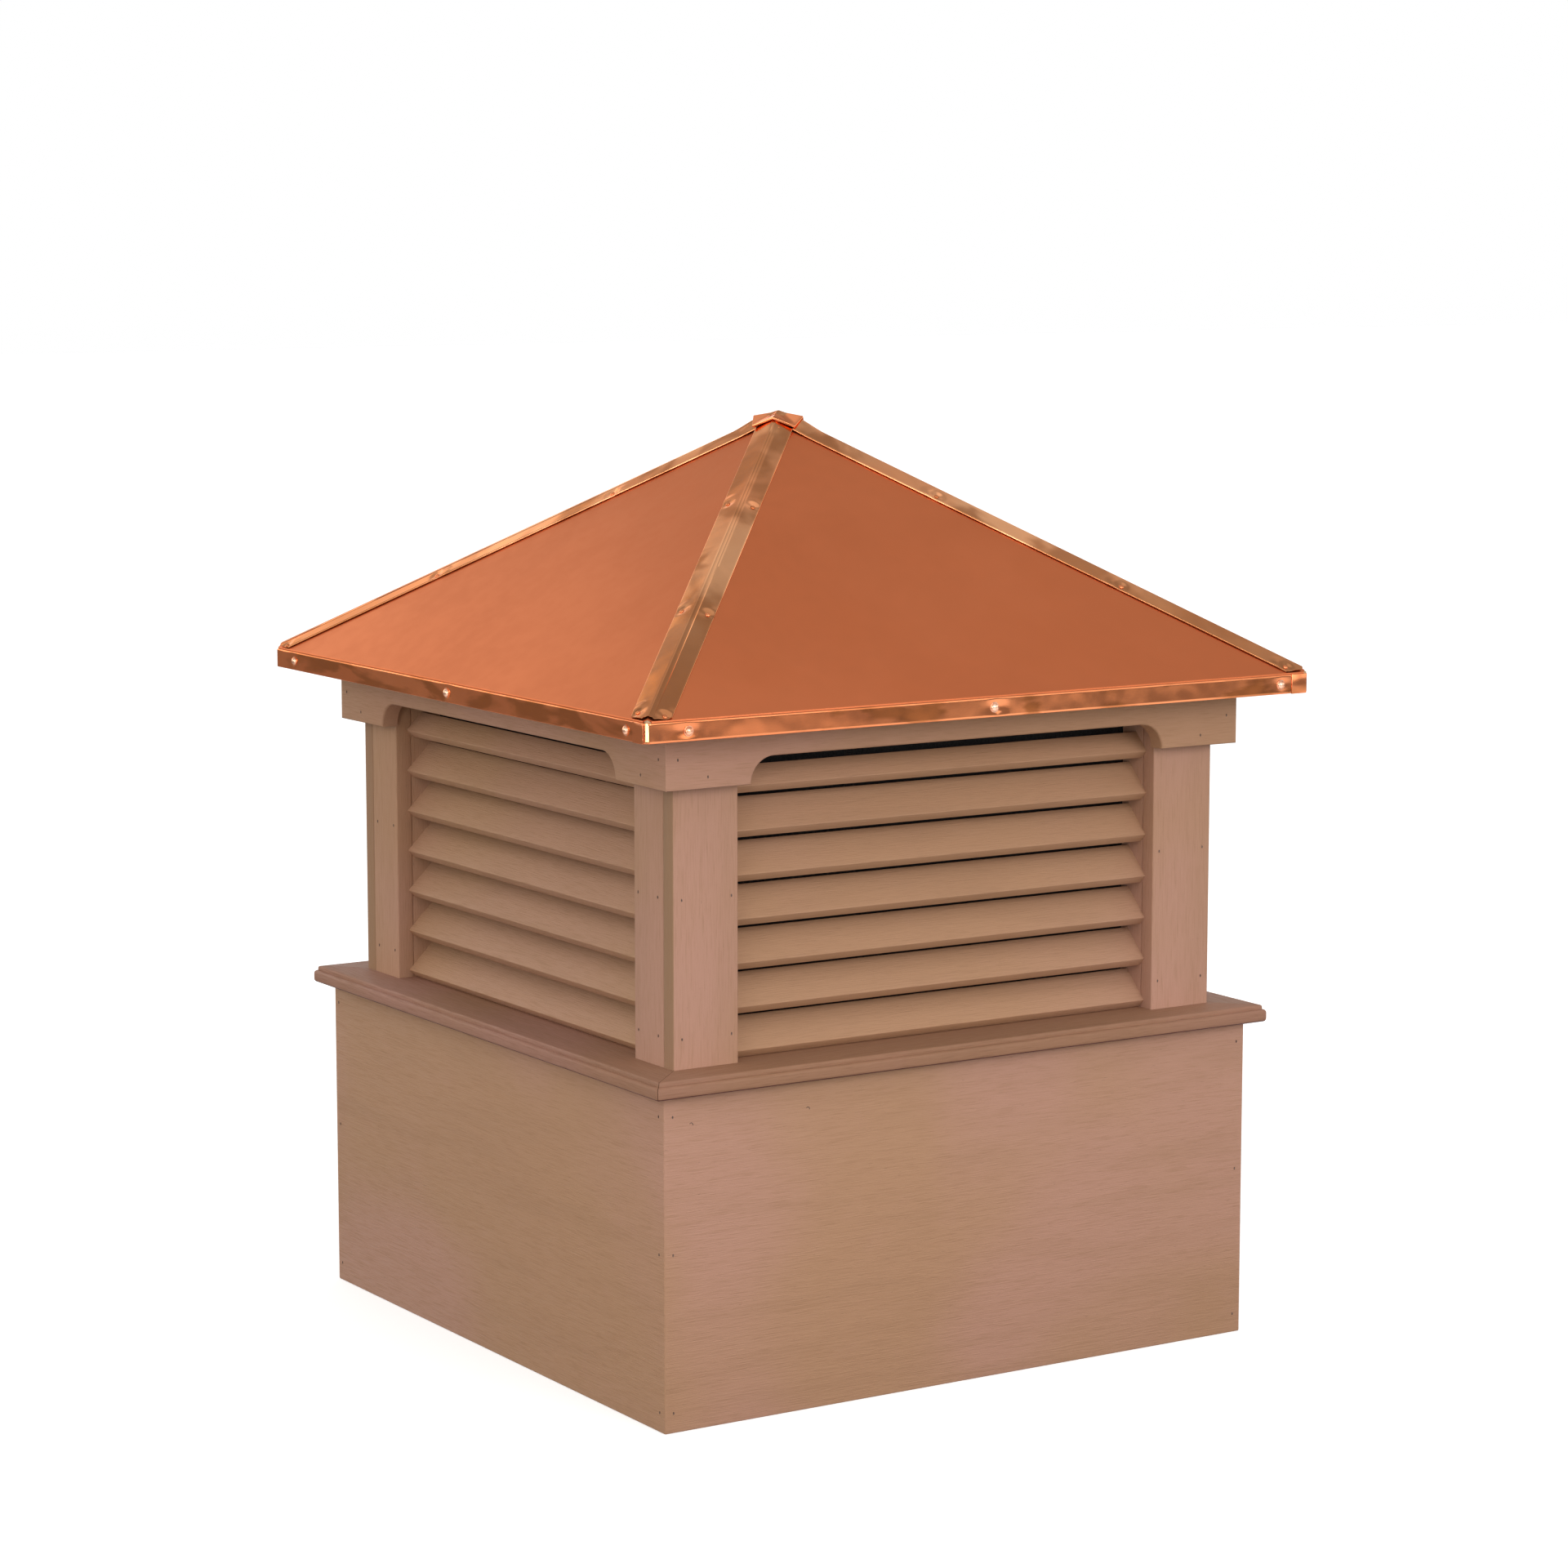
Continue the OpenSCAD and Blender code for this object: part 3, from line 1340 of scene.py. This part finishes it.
@dataclass
class BentBrads:
    """Two thin brads near the top of the front base board, bent over into hooks."""

    palette: Palette
    radius: float = 0.0019
    wire: float = 0.0004
    along: Span = (-0.348, -0.204)
    drop: float = 0.033

    def build(self) -> None:
        """Models one hook from a ring and sets both."""
        bpy.ops.mesh.primitive_torus_add(
            major_segments=32, minor_segments=8, major_radius=self.radius, minor_radius=self.wire
        )
        hook = made("hook")
        cut(hook, (0, 0, 0), (-0.5, -1, 0))
        smooth(hook, 50)
        low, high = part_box("base_front")
        outward = Vector((0, -1, 0))
        places = [standing(Vector((along, low.y, high.z - self.drop)), outward) for along in self.along]
        publish(stamped(hook, "bent_brads", places), self.palette.nail, "")


# --------------------------------------------------------------------- copper


@dataclass(frozen=True)
class RoofShape:
    """The roof's outer surface, read from the frame."""

    half: float
    foot: float
    apex: float
    eave: float

    @classmethod
    def read(cls, slope: float = math.radians(33.3)) -> "RoofShape":
        """Reads the roof's size from the front sheet and the front eave band.

        Args:
            slope: The roof's slope from level.

        Returns:
            The roof's shape.
        """
        low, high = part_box("sheet_front")
        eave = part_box("eave_band_front")[0].z
        return cls(half=-low.y, foot=high.z + low.y * math.tan(slope), apex=high.z, eave=eave)

    @property
    def rise(self) -> float:
        """Height gained for each metre in plan."""
        return (self.apex - self.foot) / self.half

    @property
    def front_normal(self) -> Vector:
        """Outward normal of the front slope."""
        return Vector((0, -self.rise, 1)).normalized()

    @property
    def right_normal(self) -> Vector:
        """Outward normal of the right slope."""
        return Vector((self.rise, 0, 1)).normalized()

    @property
    def hip(self) -> Vector:
        """Direction down the front right hip."""
        return Vector((1, -1, -self.rise)).normalized()

    @property
    def hip_length(self) -> float:
        """Length of a hip from the apex to the eave."""
        return self.half * math.sqrt(2 + self.rise**2)


@dataclass
class RoofSheets:
    """Four satin sheets with a folded lower lip."""

    palette: Palette
    shape: RoofShape
    thickness: float = 0.0008
    lip: float = 0.0018
    lip_round: float = 0.0007
    corner_cut: float = 0.0045

    def build(self) -> None:
        """Models the front sheet from a pyramid and turns it round."""
        shape = self.shape
        height = shape.apex - shape.foot
        bpy.ops.mesh.primitive_cone_add(
            vertices=4,
            radius1=shape.half * math.sqrt(2),
            radius2=0,
            depth=height,
            location=(0, 0, shape.foot + height / 2),
            rotation=(0, 0, math.pi / 4),
        )
        sheet = made("front_sheet")
        remove_faces(sheet, lambda face: face.normal.y > -0.1)
        extrude_edges(sheet, level(shape.foot), Vector((0, 0, -self.lip)))
        ease(sheet, level(shape.foot), self.lip_round)
        for end in (-1, 1):
            corner = Vector((end * shape.half, -shape.half, 0))
            outward = corner.normalized()
            cut(sheet, corner - outward * self.corner_cut, outward, closed=False)
        thicken(sheet, self.thickness)
        smooth(sheet, 50)
        publish_round(sheet, Side, "roof_sheet", [self.palette.sheet], "copper_sheet", "sheet")


@dataclass
class EaveBands:
    """Upright bands with soft corners, a closed hem and dishes round the screws."""

    palette: Palette
    shape: RoofShape
    stand_off: float = 0.001
    corner_chamfer: float = 0.0046
    corner_round: float = 0.0009
    hem_depth: float = 0.0024
    hem_height: float = 0.007
    top_turn: float = 0.0016
    top_gap: float = 0.0019
    thickness: float = 0.0007
    columns: int = 280
    rows: int = 7
    dish: float = 0.0011
    dish_radius: float = 0.012
    screws: tuple[float, ...] = (-0.378, 0.0, 0.388)
    lap_length: float = 0.021
    lap_proud: float = 0.0008
    hem_fold: float = 0.42
    top_fold: float = 0.5
    lap_fold: float = 0.6

    @property
    def half(self) -> float:
        """How far the band's face stands from the centre line."""
        return self.shape.half + self.stand_off

    @property
    def top(self) -> float:
        """Height of the band's upper edge."""
        return self.shape.foot - self.top_gap

    def scaled_turn(self, band: Piece, height: float, inward: float) -> None:
        """Turns the band's edge at a height inwards by drawing it towards the centre.

        Args:
            band: The band.
            height: Height of the edge.
            inward: How far the edge turns in.
        """
        share = 1 - inward / self.shape.half
        with editing(band):
            pick(band, Element.EDGE, level(height))
            bpy.ops.mesh.extrude_edges_move(TRANSFORM_OT_translate={"value": (0, 0, 0)})
            bpy.ops.transform.resize(value=(share, share, 1), center_override=(0, 0, 0))

    def build(self) -> None:
        """Builds the bands and the strips that lap their right ends."""
        self.band()
        self.lap()

    def band(self) -> None:
        """Models the front band from a ring and turns it to the other sides."""
        half, eave, top = self.half, self.shape.eave, self.top
        band = block("band", (-half, -half, eave), (half, half, top))
        ease(band, upright, self.corner_chamfer, 1)
        ease(band, upright, self.corner_round, 3)
        remove_faces(band, lambda face: abs(face.normal.z) > FACING)
        mitre(band, closed=False)
        with editing(band):
            pick(band, Element.EDGE, lambda edge: edge.calc_length() > half)
            bpy.ops.mesh.subdivide(number_cuts=self.columns)
        with editing(band):
            pick(band, Element.EDGE, upright)
            bpy.ops.mesh.subdivide(number_cuts=self.rows)
        for along in self.screws:
            middle = Vector((along, -half, (eave + top) / 2))
            press(band, middle, Vector((0, self.dish, 0)), self.dish_radius)
        self.scaled_turn(band, top, self.top_turn)
        self.scaled_turn(band, eave, self.hem_depth)
        inner = half - self.hem_depth
        extrude_edges(
            band,
            lambda edge: level(eave)(edge) and every(edge, lambda place: inside(place, inner)),
            Vector((0, 0, self.hem_height)),
        )
        outer = (half + inner) / 2
        hem_round = self.hem_depth * self.hem_fold
        ease(band, lambda edge: level(eave)(edge) and len(edge.link_faces) == 2, hem_round)
        ease(
            band,
            lambda edge: level(top)(edge) and every(edge, lambda place: not inside(place, outer)),
            self.top_turn * self.top_fold,
        )
        thicken(band, self.thickness)
        smooth(band, 40)
        publish_round(band, Side, "eave_trim", [self.palette.band], "copper_trim", "eave_band")

    def lap(self) -> None:
        """Models the front lap strip and turns it to the other sides."""
        half, proud = self.half, self.lap_proud
        end = half - self.corner_chamfer
        low = (end - self.lap_length, -half - proud, self.shape.eave - proud / 2)
        lap = block("lap", low, (end, -half, self.top + proud / 2))
        lap_round = proud * self.lap_fold
        ease(lap, lambda edge: every(edge, lambda place: place.y < -half - SMALL), lap_round)
        smooth(lap, 40)
        publish_round(lap, Side, "eave_lap", [self.palette.band], "copper_trim")


def inside(place: Vector, half: float) -> bool:
    """Says whether a place lies within a square round the centre line."""
    return max(abs(place.x), abs(place.y)) < half + SMALL


@dataclass
class HipCaps:
    """Bent strips over the hips, hemmed at both edges and dented at the rivets."""

    palette: Palette
    shape: RoofShape
    width: float = 0.024
    lift: float = 0.0024
    columns: int = 24
    rows: int = 260
    ridge_round: float = 0.0012
    second_fold: float = 0.0035
    second_spread: float = 0.0025
    second_lift: float = 0.0006
    hem_turn: float = 0.005
    hem_round: float = 0.0013
    hem_foot_round: float = 0.0004
    top_lift: float = 0.0028
    top_reach: float = 0.035
    thickness: float = 0.0006
    corner_cut: float = 0.007
    rivet_steps: tuple[float, ...] = (0.210, 0.442, 0.645)
    rivet_out: float = 0.0165
    rivet_stagger: float = 0.003
    top_rivet: Span = (0.036, 0.008)
    rivet_radius: float = 0.0031
    rivet_height: float = 0.0017
    dent: float = 0.0013
    dent_radius: float = 0.011
    edge_slack: float = 2e-4

    @property
    def fold(self) -> float:
        """Angle by which each flange falls from the ridge."""
        return math.acos(self.shape.right_normal.dot(self.ridge_up))

    @property
    def ridge_up(self) -> Vector:
        """Direction square to the hip, in the hip's own upright plane."""
        across = Vector((1, 1, 0)).normalized()
        return across.cross(-self.shape.hip).normalized()

    def place(self) -> Matrix:
        """The matrix from the strip's own frame to the front right hip.

        Returns:
            The matrix.
        """
        across = Vector((1, 1, 0)).normalized()
        origin = Vector((0, 0, self.shape.apex)) + self.ridge_up * (self.lift / math.cos(self.fold))
        turn = Matrix((across, -self.shape.hip, self.ridge_up)).transposed().to_4x4()
        return Matrix.Translation(origin) @ turn

    def on_flange(self, step: float, out: float) -> Vector:
        """A point of the strip's own frame on a flange.

        Args:
            step: Distance down the hip.
            out: Distance from the ridge, along the flange, positive on the right slope.

        Returns:
            The point.
        """
        return Vector((out * math.cos(self.fold), -step, -abs(out) * math.sin(self.fold)))

    def strip(self) -> Piece:
        """Models the folded and dented strip in its own frame.

        Returns:
            The strip.
        """
        length = self.shape.hip_length + self.width
        bpy.ops.mesh.primitive_grid_add(
            x_subdivisions=self.columns, y_subdivisions=self.rows, size=1, location=(0, -length / 2, 0)
        )
        strip = bpy.context.object
        strip.name = "hip_strip"
        strip.scale = (2 * self.width, length, 1)
        settle(strip)
        column = 2 * self.width / self.columns
        with editing(strip):
            pick(strip, Element.VERT, lambda vert: abs(vert.co.x - 2 * column) < SMALL)
            bpy.ops.transform.translate(value=(self.second_fold - 2 * column, 0, self.second_lift))
            bpy.ops.transform.rotate(
                value=-math.atan(self.second_spread / length),
                orient_axis="Z",
                center_override=(self.second_fold, 0, 0),
            )
        for end in (-1, 1):
            with editing(strip):
                pick(strip, Element.VERT, lambda vert: vert.co.x * end > SMALL)
                bpy.ops.transform.rotate(value=-end * self.fold, orient_axis="Y", center_override=(0, 0, 0))
        for step in self.rivet_steps:
            for end in (-1, 1):
                normal = Vector((end * math.sin(self.fold), 0, math.cos(self.fold)))
                middle = self.on_flange(step + self.rivet_stagger * end, end * self.rivet_out)
                swell = middle + Vector((0, self.dent_radius, 0))
                press(strip, middle, -normal * self.dent, self.dent_radius)
                press(strip, swell, normal * self.dent / 2, self.dent_radius)
        ease(strip, lambda edge: every(edge, lambda place: abs(place.x) < SMALL), self.ridge_round)
        press(strip, Vector((0, -self.width, 0)), Vector((0, 0, self.top_lift)), self.top_reach)
        return strip

    def build(self) -> None:
        """Places the strip, trims and hems it, and turns it to the other hips."""
        strip = self.strip()
        place = self.place()
        strip.matrix_world = place
        settle(strip)
        half = self.shape.half
        corner = Vector((half, -half, 0))
        outward = corner.normalized()
        for point, normal in (
            ((0, 0, 0), (-1, 0, 0)),
            ((0, 0, 0), (0, 1, 0)),
            ((half, 0, 0), (1, 0, 0)),
            ((0, -half, 0), (0, -1, 0)),
            (corner - outward * self.corner_cut, outward),
        ):
            cut(strip, point, normal, closed=False)
        back = place.inverted()
        edge_x = self.width * math.cos(self.fold)
        for end, normal in ((1, self.shape.right_normal), (-1, self.shape.front_normal)):
            inward = normal.cross(self.shape.hip).normalized()
            inward *= -math.copysign(1, inward.dot(Vector((end, end, 0))))
            self.hem(strip, back, end * edge_x, normal, inward)
        thicken(strip, self.thickness)
        smooth(strip, 26)
        publish_round(strip, Hip, "hip_strip", [self.palette.trim], "copper_trim", "hip_cap")
        self.rivets(place)

    def hem(self, strip: Piece, back: Matrix, edge_x: float, normal: Vector, inward: Vector) -> None:
        """Folds one outer edge of the strip under.

        Args:
            strip: The placed strip.
            back: The matrix from the frame to the strip's own frame.
            edge_x: Where the edge lies across the strip.
            normal: The slope's normal.
            inward: Direction in the slope towards the ridge.
        """

        def at_edge(edge: Edge) -> bool:
            """Says whether an edge runs along the strip's outer edge."""
            beside = every(edge, lambda place: abs((back @ place).x - edge_x) < self.edge_slack)
            return beside and edge.is_boundary

        depth = self.lift - self.thickness
        with editing(strip):
            pick(strip, Element.EDGE, at_edge)
            bpy.ops.mesh.extrude_edges_move(TRANSFORM_OT_translate={"value": -normal * depth})
            bpy.ops.mesh.extrude_edges_move(TRANSFORM_OT_translate={"value": inward * self.hem_turn})
        under_x = edge_x - math.copysign(depth * math.sin(self.fold), edge_x)
        for fold_x, width in ((under_x, self.hem_foot_round), (edge_x, self.hem_round)):
            ease(
                strip,
                lambda edge: every(edge, lambda place: abs((back @ place).x - fold_x) < self.edge_slack),
                width,
                4,
            )

    def rivets(self, place: Matrix) -> None:
        """Sets the rivets along each hip.

        Args:
            place: The matrix from the strip's own frame to the front right hip.
        """
        heads = []
        for step in self.rivet_steps:
            for end in (-1, 1):
                normal = self.shape.right_normal if end > 0 else self.shape.front_normal
                middle = place @ self.on_flange(step + self.rivet_stagger * end, end * self.rivet_out)
                heads.append(standing(middle - normal * self.dent, normal))
        top = place @ self.on_flange(*self.top_rivet)
        heads.append(standing(top, self.shape.right_normal))
        pattern = domed_head("rivet", self.rivet_radius, self.rivet_height)
        rivets = stamped(pattern, "hip_rivets", heads)
        publish_round(rivets, Hip, "hip_rivets", [self.palette.band], "copper_trim")


def domed_head(name: str, radius: float, height: float) -> Piece:
    """Models a domed screw or rivet head along +Z, on a thin flange.

    Args:
        name: The head's name.
        radius: The flange's radius.
        height: The dome's height over the surface.

    Returns:
        The head, with its seat at the origin.
    """
    flange, rim = height * 0.2, radius * 0.2
    steps, roundness = 5, math.radians(80)
    bpy.ops.mesh.primitive_cylinder_add(vertices=24, radius=radius, depth=2 * flange)
    head = made(name)
    with editing(head):
        pick(head, Element.FACE, lambda face: face.normal.z > FACING)
        bpy.ops.mesh.inset(thickness=rim)
        for step in range(steps):
            first, last = (roundness * (step + add) / steps for add in (0, 1))
            rise = (height - flange) * (math.sin(last) - math.sin(first))
            share = math.cos(last) / math.cos(first)
            bpy.ops.mesh.extrude_region_move(TRANSFORM_OT_translate={"value": (0, 0, rise)})
            bpy.ops.transform.resize(value=(share, share, 1), center_override=(0, 0, 0))
    smooth(head, 50)
    return head


@dataclass
class EaveScrews:
    """Domed screws along the eave bands."""

    palette: Palette
    shape: RoofShape
    bands: EaveBands
    radius: float = 0.0056
    height: float = 0.0036
    seating: float = 0.6

    def build(self) -> None:
        """Sets the front's screws and turns them to the other sides."""
        middle = (self.shape.eave + self.bands.top) / 2
        seat = self.bands.dish * self.seating - self.bands.half
        outward = Vector((0, -1, 0))
        places = [standing(Vector((along, seat, middle)), outward) for along in self.bands.screws]
        screws = stamped(domed_head("screw", self.radius, self.height), "eave_screws", places)
        publish_round(screws, Side, "eave_screws", [self.palette.screw], "copper_trim")


@dataclass
class PeakCap:
    """Folded cap over the peak, with its corners bent down and its rim hemmed."""

    palette: Palette
    shape: RoofShape
    fold_reach: float = 0.029
    peak_drop: float = 0.0052
    corner_lift: float = 0.010
    hem_drop: float = 0.0026
    hem_turn: float = 0.90
    hem_round: float = 0.0007
    thickness: float = 0.0006

    def build(self) -> None:
        """Models the cap from a disc of eight sides."""
        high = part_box("peak_cap")[1]
        reach = high.x
        corner_z = self.shape.apex - reach * self.shape.rise + self.corner_lift
        bpy.ops.mesh.primitive_circle_add(
            vertices=8, radius=reach, fill_type="TRIFAN", location=(0, 0, high.z)
        )
        cap = made("peak_fold")
        with editing(cap):
            pick(cap, Element.VERT, lambda vert: abs(vert.co.x * vert.co.y) > SMALL)
            share = self.fold_reach / reach
            bpy.ops.transform.resize(value=(share, share, 1), center_override=(0, 0, high.z))
            bpy.ops.transform.translate(value=(0, 0, -self.peak_drop))
            pick(
                cap,
                Element.VERT,
                lambda vert: abs(vert.co.x * vert.co.y) < SMALL and vert.co.to_2d().length > reach / 2,
            )
            bpy.ops.transform.translate(value=(0, 0, corner_z - high.z))
        with editing(cap):
            bpy.ops.mesh.select_all(action="SELECT")
            bpy.ops.mesh.subdivide(number_cuts=3)
        with editing(cap):
            pick(cap, Element.EDGE, lambda edge: edge.is_boundary)
            bpy.ops.mesh.extrude_edges_move(TRANSFORM_OT_translate={"value": (0, 0, -self.hem_drop)})
            bpy.ops.mesh.extrude_edges_move(TRANSFORM_OT_translate={"value": (0, 0, 0)})
            bpy.ops.transform.resize(value=(self.hem_turn, self.hem_turn, 1), center_override=(0, 0, high.z))
        ease(cap, lambda edge: edge.calc_face_angle(0) > math.radians(50), self.hem_round)
        thicken(cap, self.thickness)
        smooth(cap, 18)
        publish(cap, self.palette.band, "copper_trim", "peak_cap")


# --------------------------------------------------------------------- studio


@dataclass(frozen=True)
class SoftBox:
    """One soft light, by its place, its aim and its strength."""

    name: str
    place: Point
    size: float
    power: float
    tint: Colour = (1.0, 1.0, 1.0)
    aim: Point = (0.0, 0.0, 0.55)

    def hang(self) -> None:
        """Adds the light to the scene."""
        data = bpy.data.lights.new(self.name, "AREA")
        data.shape = "SQUARE"
        data.size = self.size
        data.energy = self.power
        data.color = self.tint
        lamp = bpy.data.objects.new(self.name, data)
        bpy.context.scene.collection.objects.link(lamp)
        lamp.location = self.place
        lamp.rotation_euler = (Vector(self.aim) - Vector(self.place)).to_track_quat("-Z", "Y").to_euler()


@dataclass
class Studio:
    """A pale floor, soft lights and the camera."""

    floor_size: float = 60.0
    floor_colour: Colour = (0.86, 0.86, 0.86)
    floor_bounce: Colour = (0.20, 0.18, 0.17)
    floor_glow: Colour = (0.46, 0.46, 0.46)
    pool_shift: Point = (-1.2, 1.9, 0.0)
    pool_reach: tuple[float, ...] = (1.3, 5.0, 1.0, 0.12)
    room_grades: tuple[tuple[float, Colour], ...] = (
        (0.30, (1.05, 1.02, 0.97)),
        (0.50, (0.42, 0.42, 0.42)),
        (0.80, (0.60, 0.60, 0.60)),
    )
    room_patches: tuple[float, ...] = (0.38, 0.62, 0.85, 1.75)
    patch_scale: float = 2.6
    camera_place: Point = (-2.537, -4.010, 1.271)
    camera_down: float = 7.89
    camera_turn: float = 32.40
    lens: float = 95.74
    sensor: float = 36.0

    def floor(self) -> None:
        """Lays the floor just under the cupola."""
        bpy.ops.mesh.primitive_plane_add(size=self.floor_size, location=(0, 0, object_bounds()[0].z))
        floor = bpy.context.object
        floor.name = "studio_floor"
        graph = Finish("studio_floor")
        path = graph.add("ShaderNodeLightPath")
        colour = graph.mix(path.outputs["Is Camera Ray"], self.floor_bounce, self.floor_colour)
        length = graph.add("ShaderNodeVectorMath", operation="LENGTH")
        graph.link(graph.place(shift=self.pool_shift), length.inputs[0])
        pool = graph.spread(length.outputs["Value"], *self.pool_reach)
        shine = graph.mix(pool, (0.0, 0.0, 0.0), (1.0, 1.0, 1.0))
        glow = graph.mix(path.outputs["Is Glossy Ray"], (0.0, 0.0, 0.0), shine)
        glow = graph.mix(path.outputs["Is Camera Ray"], glow, self.floor_glow)
        graph.paint(colour)
        graph.link(glow, graph.shader.inputs["Emission Color"])
        graph.set(Roughness=0.9, Emission_Strength=1.0, Specular_IOR_Level=0.1)
        floor.data.materials.append(graph.material)
        floor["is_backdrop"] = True

    def sky(self) -> None:
        """Lights the room: white to the eye, graded from grey to pale in reflections."""
        world = bpy.data.worlds.new("studio_room")
        bpy.context.scene.world = world
        graph = Graph(world)
        graph.tree.nodes.clear()
        place = graph.add("ShaderNodeTexCoord").outputs["Generated"]
        split = graph.add("ShaderNodeSeparateXYZ")
        graph.link(place, split.inputs[0])
        grade = graph.add("ShaderNodeValToRGB")
        graph.link(split.outputs["Z"], grade.inputs["Fac"])
        for element, (height, colour) in zip(grade.color_ramp.elements, self.room_grades):
            element.position, element.color = height, (*colour, 1.0)
        height, colour = self.room_grades[-1]
        grade.color_ramp.elements.new(height).color = (*colour, 1.0)
        patches = graph.add("ShaderNodeMapRange")
        for name, value in zip(("From Min", "From Max", "To Min", "To Max"), self.room_patches):
            patches.inputs[name].default_value = value
        graph.link(graph.noise(place, self.patch_scale, 1.0), patches.inputs["Value"])
        room = graph.add("ShaderNodeBackground")
        graph.link(grade.outputs["Color"], room.inputs["Color"])
        graph.link(patches.outputs["Result"], room.inputs["Strength"])
        backdrop = graph.add("ShaderNodeBackground")
        backdrop.inputs["Color"].default_value = (1, 1, 1, 1)
        mix = graph.add("ShaderNodeMixShader")
        graph.link(graph.add("ShaderNodeLightPath").outputs["Is Camera Ray"], mix.inputs[0])
        graph.link(room.outputs[0], mix.inputs[1])
        graph.link(backdrop.outputs[0], mix.inputs[2])
        graph.link(mix.outputs[0], graph.add("ShaderNodeOutputWorld").inputs["Surface"])

    def lights(self) -> None:
        """Hangs the soft boxes."""
        for box in (
            SoftBox("front_box", (0.2, -5.2, 2.2), 2.6, 85, (0.98, 0.93, 1.0)),
            SoftBox("left_box", (-5.2, -0.6, 2.2), 2.4, 24, (1.0, 0.96, 0.88)),
            SoftBox("back_box", (-0.9, 5.4, 2.7), 2.8, 17, (1.0, 0.96, 0.86)),
            SoftBox("corner_box", (-4.9, -3.3, 0.45), 1.3, 40),
            SoftBox("key_box", (-2.9, -4.6, 3.3), 0.9, 14),
        ):
            box.hang()

    def camera(self) -> None:
        """Sets the camera up."""
        data = bpy.data.cameras.new("camera")
        data.lens = self.lens
        data.sensor_width = self.sensor
        camera = bpy.data.objects.new("camera", data)
        bpy.context.scene.collection.objects.link(camera)
        camera.location = self.camera_place
        camera.rotation_euler = (math.radians(90 - self.camera_down), 0, math.radians(-self.camera_turn))
        bpy.context.scene.camera = camera

    def build(self) -> None:
        """Sets the studio up."""
        bpy.context.scene.view_settings.view_transform = "Standard"
        self.floor()
        self.sky()
        self.lights()
        self.camera()


def main() -> None:
    """Builds the cupola round its frame, then the studio."""
    logging.basicConfig(level=logging.INFO, format="%(name)s: %(message)s")
    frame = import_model()
    palette = Palette.mixed()
    shape = RoofShape.read()
    Carcass(palette).dress(frame["nodes"])
    for assembly in (Base(palette), Sill(palette), CornerBoards(palette), Louvres(palette), Frieze(palette)):
        assembly.build()
    InsectScreens(palette).build()
    Nails(palette).build()
    BentBrads(palette).build()
    RoofSheets(palette, shape).build()
    bands = EaveBands(palette, shape)
    bands.build()
    EaveScrews(palette, shape, bands).build()
    HipCaps(palette, shape).build()
    PeakCap(palette, shape).build()
    Studio().build()


if __name__ == "__main__":
    main()
